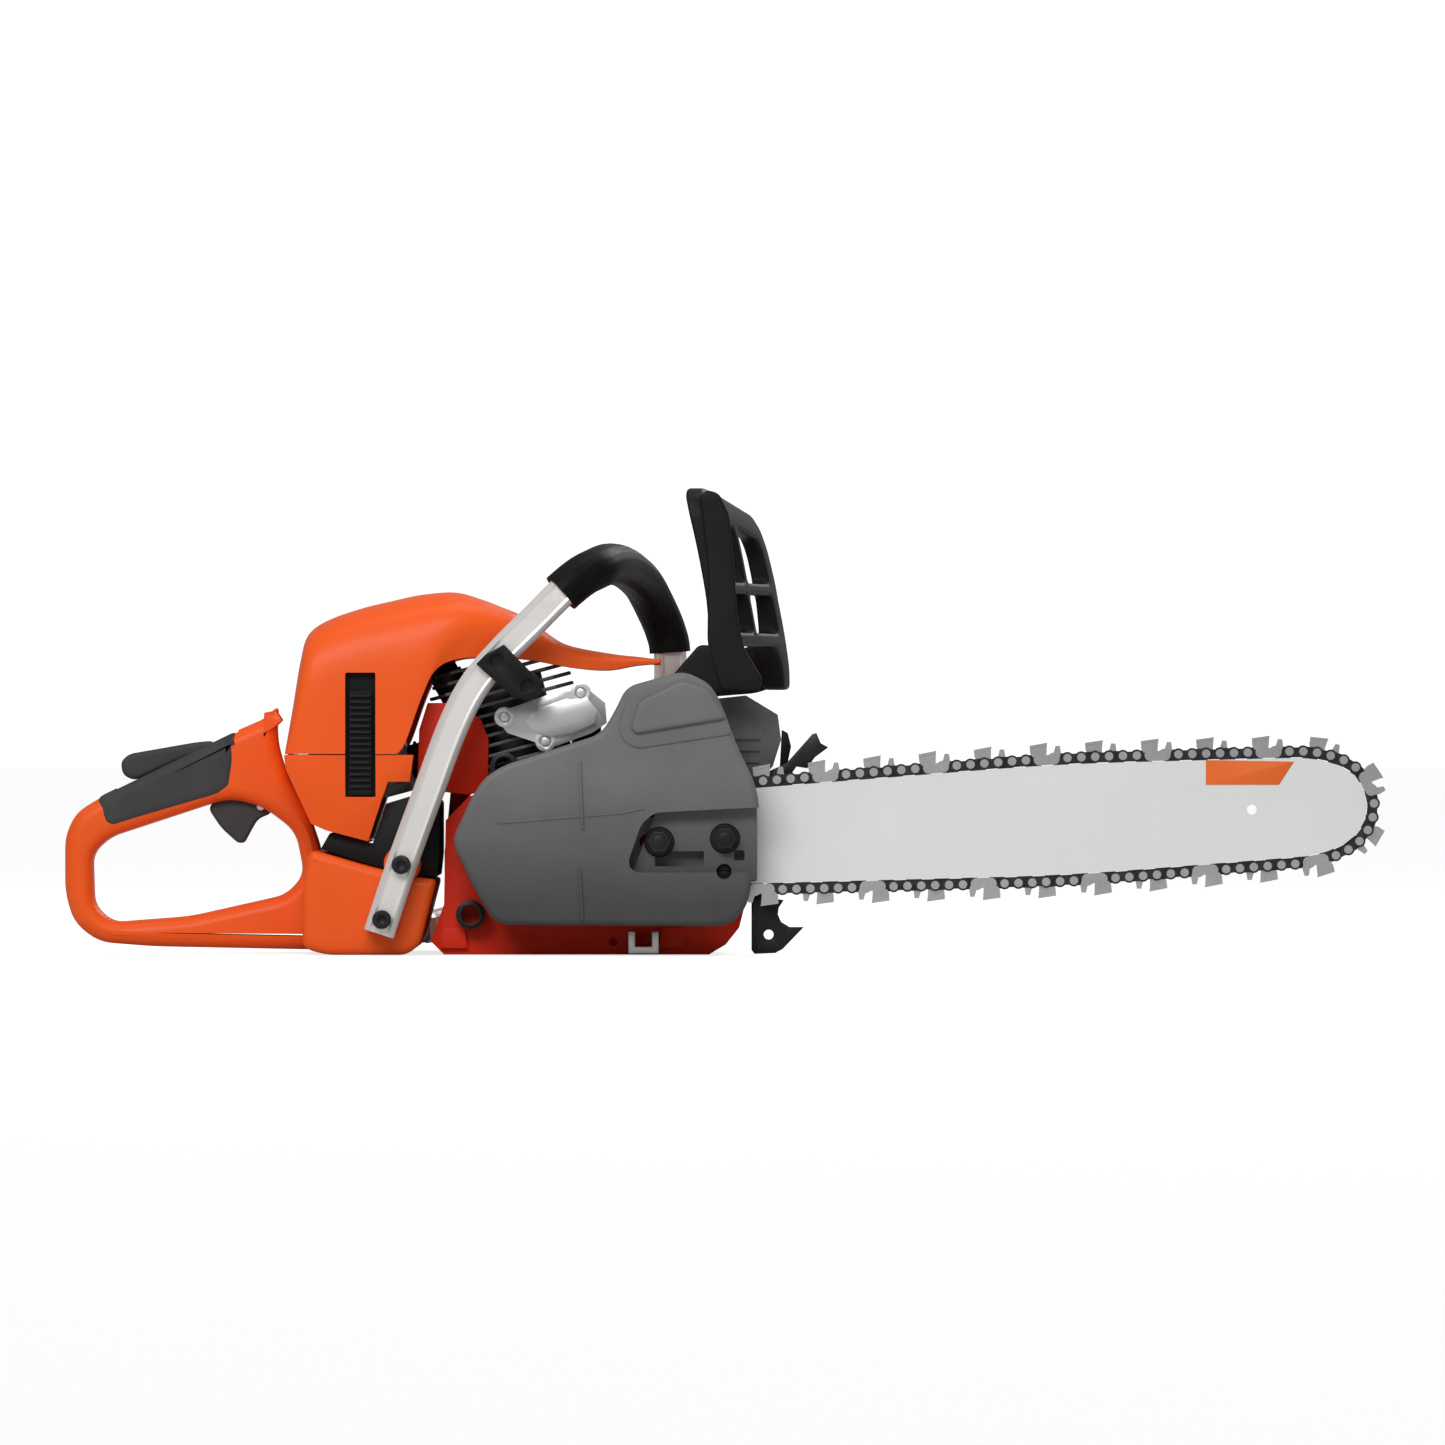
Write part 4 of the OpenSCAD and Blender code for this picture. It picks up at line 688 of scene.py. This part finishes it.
# %% Sweep trees
RIGHT_LEG = [(-204, -86, 13), (-190, -86, 55), (-175, -86, 96), (-160, -86, 136), (-147, -86, 161),
             (-130, -86, 181), (-112, -86, 199), (-96, -86, 215)]
CROSSBAR = [(-84, -81, 225), (-75, -68, 230), (-70, -45, 232.5), (-66, -15, 233.2), (-61, 20, 232.5),
            (-55, 50, 229), (-48, 76, 222), (-41, 94, 209), (-35, 101, 195)]
LEFT_LEG = [(-32, 102, 181), (-33, 102, 155), (-42, 102, 120), (-64, 102, 84), (-92, 102, 52),
            (-122, 102, 33), (-150, 102, 22), (-169, 100, 16),
            (-181, 91, 13.5), (-185.5, 78, 13), (-186, 66.2, 13)]


def sweep_tree():
    """Curve to Mesh with a path, a profile and a material as named inputs."""
    tree = bpy.data.node_groups.new("sweep along a path", "GeometryNodeTree")
    face = tree.interface
    face.new_socket("Geometry", in_out="OUTPUT", socket_type="NodeSocketGeometry")
    face.new_socket("Geometry", in_out="INPUT", socket_type="NodeSocketGeometry")
    face.new_socket("Profile", in_out="INPUT", socket_type="NodeSocketObject")
    face.new_socket("Material", in_out="INPUT", socket_type="NodeSocketMaterial")
    add, link = tree.nodes.new, tree.links.new
    inputs, output, info = add("NodeGroupInput"), add("NodeGroupOutput"), add("GeometryNodeObjectInfo")
    path, profile = add("GeometryNodeMeshToCurve"), add("GeometryNodeMeshToCurve")
    sweep = add("GeometryNodeCurveToMesh")
    real, coat = add("GeometryNodeRealizeInstances"), add("GeometryNodeSetMaterial")
    sweep.inputs["Fill Caps"].default_value = True
    link(inputs.outputs["Geometry"], path.inputs["Mesh"])
    link(inputs.outputs["Profile"], info.inputs["Object"])
    link(info.outputs["Geometry"], profile.inputs["Mesh"])
    link(path.outputs["Curve"], sweep.inputs["Curve"])
    link(profile.outputs["Curve"], sweep.inputs["Profile Curve"])
    link(sweep.outputs["Mesh"], real.inputs["Geometry"])
    link(real.outputs["Geometry"], coat.inputs["Geometry"])
    link(inputs.outputs["Material"], coat.inputs["Material"])
    link(coat.outputs["Geometry"], output.inputs["Geometry"])
    return tree


SWEEP = sweep_tree()


def wire(name, points, closed):
    """A mesh of edges only, for a path or a profile."""
    mesh = bpy.data.meshes.new(name)
    edges = [(i, i + 1) for i in range(len(points) - 1)]
    if closed:
        edges.append((len(points) - 1, 0))
    mesh.from_pydata([tuple(v * MM for v in p) for p in points], edges, [])
    return mesh


def swept(name, path, profile, material):
    """The profile swept along the path, as a closed plain mesh."""
    outline = new_piece(name + "_profile", wire(name + "_profile", profile, True), material)
    piece = new_piece(name, wire(name, path, False), material)
    modifier = piece.modifiers.new("sweep", "NODES")
    modifier.node_group = SWEEP
    set_input(modifier, "Profile", outline)
    set_input(modifier, "Material", material)
    piece.update_tag()
    bpy.context.view_layer.update()
    bake_modifiers(piece)
    bpy.data.objects.remove(outline)
    shape = bmesh.new()
    shape.from_mesh(piece.data)
    bmesh.ops.remove_doubles(shape, verts=shape.verts, dist=0.000001)
    bmesh.ops.recalc_face_normals(shape, faces=shape.faces)
    shape.to_mesh(piece.data)
    shape.free()
    return piece


# %% Build the tube and its sleeve
STEPS = 8
centre_line = catmull(RIGHT_LEG + CROSSBAR + LEFT_LEG, STEPS)
tube_profile = []
for k in range(96):
    a = 2 * math.pi * k / 96
    from_flat = (a + math.pi / 4) % (math.pi / 2) - math.pi / 4
    reach = 8.5 / math.cos(from_flat) if abs(from_flat) < 0.56 else 10.95
    tube_profile.append((reach * math.cos(a), reach * math.sin(a), 0))
tube = swept("front_handle_finished", centre_line, tube_profile, BRIGHT)
smooth_by_angle(tube.data, 50)
hand_over(tube, "power_unit", "bright_alloy", "front_handle")
first, last = (len(RIGHT_LEG) - 1) * STEPS, (len(RIGHT_LEG) + len(CROSSBAR)) * STEPS
sleeve_profile = []
for k in range(64):
    a = 2 * math.pi * k / 64
    groove = 0.22 if k % 4 == 0 else 0
    sleeve_profile.append(((12.5 - groove) * math.cos(a), (12.5 - groove) * math.sin(a), 0))
sleeve = swept("handle_sleeve_finished", centre_line[first:last + 1], sleeve_profile, RUBBER)
smooth_by_angle(sleeve.data, 50)
hand_over(sleeve, "power_unit", "black_rubber", "handle_sleeve")
print("front handle done")

# %% [markdown]
# ## Clutch cover
# A deep moulded plate with a wide rim. A raised pad stands above the bar, a recess holds the two nuts,
# and two short ribs stand on its face. Booleans cut the recess, so its walls stay crisp.

# %% Build the clutch cover
COVER = [(-57, 159.5), (-22.5, 169), (-8, 161.5), (-2.5, 153.5), (2.5, 141), (8, 125.5), (20, 100.5),
         (22.5, 83), (16.5, 38.5), (14, 29), (5.5, 19), (-6, 17.5), (-129.5, 18.5), (-136.5, 22),
         (-146.5, 38.5), (-160.5, 68), (-147.5, 96), (-140.5, 106),
         (-129.5, 113), (-72, 131.5), (-63.5, 145.5)]
COVER_HOLLOW = [(-60, 127), (4, 127), (16, 100), (40, 99), (40, 43), (12, 38), (10, 30), (2, 22),
                (-128, 22.5), (-143, 40), (-156, 68), (-144, 94), (-137, 103), (-128, 109.5)]
PAD = [(-54.5, 134.5), (-51, 131.5), (2.5, 140.5), (-8, 158), (-24, 163), (-43, 154), (-50, 150)]
PAD_SKIRT = [(-62, 134), (-58, 126), (-50, 122.5), (6, 131), (2, 142), (-6, 159), (-22.5, 167), (-56, 157.5)]
RECESS = [(30, 88.5), (-40, 85), (-48, 78.5), (-55.5, 57), (-55, 52.5), (-51, 49.5), (30, 49.5)]
STUD_SEAT = [(-56, 44), (20.5, 44), (20.5, 93), (-38, 90)]
face = plate("cover_face", [COVER], -110, -76.2, 3.6, COVER_GREY, corner=7, rim_steps=5)
hollow = plate("cover_hollow", [COVER_HOLLOW], -107, -60, 1.5, COVER_GREY)
recess = plate("nut_recess", [RECESS], -125, -98, 1.2, COVER_GREY, corner=4)
guard_room = plate("guard_room", [[(-36, 138), (2, 138), (14, 190), (-62, 190)]], -91.5, -60, 0.5, COVER_GREY)
pivot_room = rod("pivot_room", -22, 160, -92, -60, 10.5, COVER_GREY)
holes = [rod("stud_hole", x, z, -120, -60, 4.3, COVER_GREY) for x, z in STUDS]
screw_hole = rod("screw_hole", 1, 50, -120, -60, 4.6, COVER_GREY)
slots = [plate("adjuster_slot", [outline], -101, -90, 0.4, COVER_GREY, corner=1) for outline in (
    [(-40, 53), (-40, 62), (-11, 62), (-11, 53)], [(7, 56.5), (7, 62.5), (13, 62.5), (13, 56.5)])]
cut(face, hollow)
seat = plate("stud_seat", [STUD_SEAT], -98.6, -84.4, 0.8, COVER_GREY, corner=2)
cut(face, recess, guard_room, pivot_room, screw_hole, *holes)
seat_holes = [rod("seat_hole", x, z, -120, -60, 4.3, COVER_GREY) for x, z in STUDS]
cut(seat, rod("seat_screw_hole", 1, 50, -120, -60, 4.6, COVER_GREY), *seat_holes, *slots)
skirt = plate("pad_skirt", [PAD_SKIRT], -111.2, -108, 1.4, COVER_GREY, corner=4)
pad = plate("raised_pad", [PAD], -114.5, -107, 2.2, COVER_GREY, corner=3.5, rim_steps=4)
ridges = [plate("face_rib", [[(-85.4, high), (-83.8, high), (-82, low), (-83.6, low)]], -111.3, -108, 0.4,
                COVER_GREY, corner=0.5) for low, high in ((75, 115), (21, 52))]
CREASE = [(-134, 79.5), (-132, 78.2), (-60, 84), (-46, 87), (-46, 88), (-60, 85.4)]
crease = plate("face_crease", [CREASE], -110.6, -108, 0.3, COVER_GREY, corner=0.5)
pivot = rod("guard_pivot", -22, 160, -93, -78, 4, COVER_GREY)
clutch_cover = joined("clutch_cover_finished", face, seat, skirt, pad, *ridges, crease, pivot)
hand_over(clutch_cover, "power_unit", "cover_grey", "clutch_cover")

# %% Nuts of the bar
def flange_nut(x, z):
    """A hexagon with a chamfer and a round flange."""
    flange = rod("nut_flange", x, z, -100.2, -98.1, 9, BLACKED, rim=0.8)
    corners = [(x + 7.5 * math.cos(math.pi * k / 3), z + 7.5 * math.sin(math.pi * k / 3)) for k in range(6)]
    hexagon = plate("nut_hexagon", [corners], -107.8, -100, 0.8, BLACKED, corner=0.3)
    bore = rod("nut_bore", x, z, -120, -90, 4, BLACKED)
    cut(hexagon, bore)
    bore = rod("nut_bore", x, z, -120, -90, 4, BLACKED)
    cut(flange, bore)
    return joined("bar_nut", flange, hexagon)


nuts = joined("bar_nuts_finished", *[flange_nut(x, z) for x, z in STUDS])
hand_over(nuts, "power_unit", "dark_steel", "bar_nuts")
print("clutch cover done")

# %% [markdown]
# ## Hand guard
# The guard is a windowed plate that leans back at the top and slants forward to the left side. It is first
# made flat, with its windows as holes, and then each point is moved to its place by one rule.

# %% Build the hand guard
GUARD_FLAT = [(-88, 158), (-88.5, 186), (-88, 262), (-84, 274), (-74, 278), (-50, 276.5), (50, 264),
              (66, 256), (74, 244), (79, 222), (80, 190), (80, 158), (62, 158), (56, 174), (46, 184),
              (-54, 184), (-66, 176), (-70, 158)]
WINDOWS = [[(-70, 222), (-70, 254), (-64, 259), (-16, 255), (-14, 250), (-14, 222)],
           [(-6, 222), (-6, 251), (-2, 255), (50, 249), (58, 240), (60, 222)],
           [(-70, 192), (-70, 215), (-14, 215), (-14, 192)], [(-6, 192), (-6, 215), (61, 215), (62, 192)]]


def place_on_guard(point):
    """From the flat plate, where x is across the saw and y is depth, to its leaning and slanting place."""
    across, depth, high = point.x, point.y, point.z
    t = (high / MM - 157) / 121
    lean = 9 - 6 * t - 14 * t * t
    slant = 0.2 * (across / MM + 88)
    swell = 1 + 0.35 * max(0, 1 - abs(t - 0.12) * 3)
    return Vector(((slant + lean + depth / MM * swell - 8) * MM, across, high))


def dense(outline, gap=5):
    """The outline with extra points, so that it can follow a curve."""
    result = []
    for i, end in enumerate(outline):
        start = Vector(outline[i - 1])
        count = max(1, int((Vector(end) - start).length / gap))
        result += [tuple(start.lerp(Vector(end), k / count)) for k in range(count)]
    return result


panel_outlines = [rounded(in_mm(o), 5 * MM) for o in [GUARD_FLAT] + WINDOWS]
panel_mesh = plate_mesh("guard_panel", [dense(o, 5 * MM) for o in panel_outlines], 11 * MM, 2.2 * MM, 3)
for vertex in panel_mesh.vertices:
    vertex.co = place_on_guard(vertex.co)
panel = new_piece("guard_panel", panel_mesh, BLACK)
ARM = [(-30, 166), (-14, 184.5), (-3, 184), (2, 158), (-14, 152), (-30, 152)]
NEAR_POST = [(-14, 272), (-9.5, 276.5), (-2, 274.5), (4, 262), (7, 230), (9, 200), (13, 182), (24, 164),
             (22, 157), (-1.5, 157), (-9, 186), (-8.5, 228), (-12, 260)]
LEFT_ARM = [(-30, 152), (-30, 168), (20, 186), (38, 180), (38, 162), (20, 156)]
arm = plate("guard_arm", [ARM], -89, -80, 1.6, BLACK, corner=3)
near_post = plate("guard_near_post", [NEAR_POST], -89.5, -84.5, 1.6, BLACK, corner=4)
hub = rod("guard_hub", -22, 160, -91, -80, 9, BLACK, rim=1)
left_arm = plate("guard_left_arm", [LEFT_ARM], 73.2, 79.8, 1.4, BLACK, corner=4)
guard = joined("hand_guard_finished", panel, near_post, arm, hub, left_arm)
hand_over(guard, "guard", "black_plastic", "hand_guard")
print("hand guard done")

# %% [markdown]
# ## Bar and chain
# The bar keeps the frame's exact groove and holes. Thin raised spots mark its spot welds, and a plain
# orange field fills its label place. The chain's links keep their own shapes and get blued and bright
# steel, so that cutters and rivet heads stand out from the straps.

# %% Build the bar's dressing
def in_bar_frame(along, across, out):
    """A place in the bar's tilted frame, in metres, from millimetres."""
    c, s = math.cos(BAR_TILT), math.sin(BAR_TILT)
    return Vector((CRANK.x + (along * c - across * s) * MM, BAR_Y - out * MM,
                   CRANK.z + (along * s + across * c) * MM))


paint("guide_bar", BAR_PAINT)
spots = []
WELD_PITCH = 26.7
for side, first_along, count in ((17.5, 147, 10), (-16.5, 148, 12)):
    dot = rod("weld_spot", 0, 0, -0.12, 0.12, 1.1, BAR_PAINT, sides=16, rim=0.08)
    start = in_bar_frame(first_along, side, 2.15) / MM
    stop = in_bar_frame(first_along + WELD_PITCH * (count - 1), side, 2.15) / MM
    spots.append(row_of(dot, count, start, stop, BAR_PAINT))
    spots[-1].name = "weld_spots_" + str(len(spots))
weld_spots = joined("bar_weld_spots", *spots)
hand_over(weld_spots, "power_unit", "bar_paint")
PATCH_OUTLINE = [(287.5, 101.2), (287.5, 116), (340, 115), (331, 101.2)]
patch = plate("bar_patch", [PATCH_OUTLINE], -74.32, -74.04, 0.1, PATCH, corner=0.4, rim_steps=1)
smooth_by_angle(patch.data)
hand_over(patch, "power_unit", "orange_shell")

# %% Finish the chain
CHAIN_FINISH = {"chain_drive_links": DARK_STEEL, "chain_tie_straps": DARK_STEEL, "chain_rivets": STEEL,
                "chain_cutters": STEEL, "nose_sprocket": DARK_STEEL}
for node, material in CHAIN_FINISH.items():
    paint(node, material)
print("chain links:", len(CHAIN_FINISH))

# %% [markdown]
# ## Everything else
# The other parts are machined, cast or stamped. Each keeps its frame shape with softened edges and its own
# finish.

# %% Dress the remaining parts
EDGE_AND_FINISH = {
    "crankcase_right": (0.8, RED), "crankcase_left": (0.8, RED), "engine_cylinder": (0.3, CYLINDER),
    "transfer_cover": (1.2, CAST_BRIGHT), "spark_plug": (0.3, BLACK), "piston": (0.3, CAST),
    "connecting_rod": (0.5, STEEL), "crankshaft": (0.4, STEEL), "crank_bearings": (0.3, STEEL),
    "flywheel": (0.5, CAST), "ignition_coil": (0.8, BLACK), "clutch_hub": (0.4, DARK_STEEL),
    "clutch_shoes": (0.5, STEEL), "clutch_drum": (0.4, DARK_STEEL), "rim_sprocket": (0.4, STEEL),
    "needle_bearing": (0.2, BRIGHT), "oil_pump": (0.5, BLACK), "muffler": (1.6, MUFFLER),
    "muffler_deflector": (0.8, BLACK), "carburettor": (0.8, CAST), "air_filter": (0.4, FELT),
    "intake_boot": (0.4, RUBBER), "handle_bolts": (0.4, BLACKED), "handle_bracket": (1.0, BLACK),
    "carburettor_tray": (0.8, BLACK), "cylinder_shroud": (0.5, RED),
    "av_springs": (0.4, BLACKED), "brake_band": (0.2, BLACKED), "bar_studs": (0.3, BLACKED),
    "tensioner_screw": (0.3, BLACKED), "bumper_spikes": (0.5, BLACKED), "chain_catcher": (0.5, BRIGHT),
    "starter_cover": (1.4, ORANGE), "starter_pulley": (0.5, BLACK), "recoil_spring": (0.1, STEEL),
    "starter_grip": (2.2, BLACK), "starter_rope": (0.3, ROPE), "fuel_cap": (0.7, BLACK),
    "oil_cap": (0.7, BLACK), "purge_bulb": (0.2, RUBBER), "choke_lever": (0.8, BLACK),
    "decompression_valve": (0.5, VALVE_BLUE)}
for node, (edge, material) in EDGE_AND_FINISH.items():
    edged(node, material, edge * MM)
print("parts dressed:", len(EDGE_AND_FINISH))
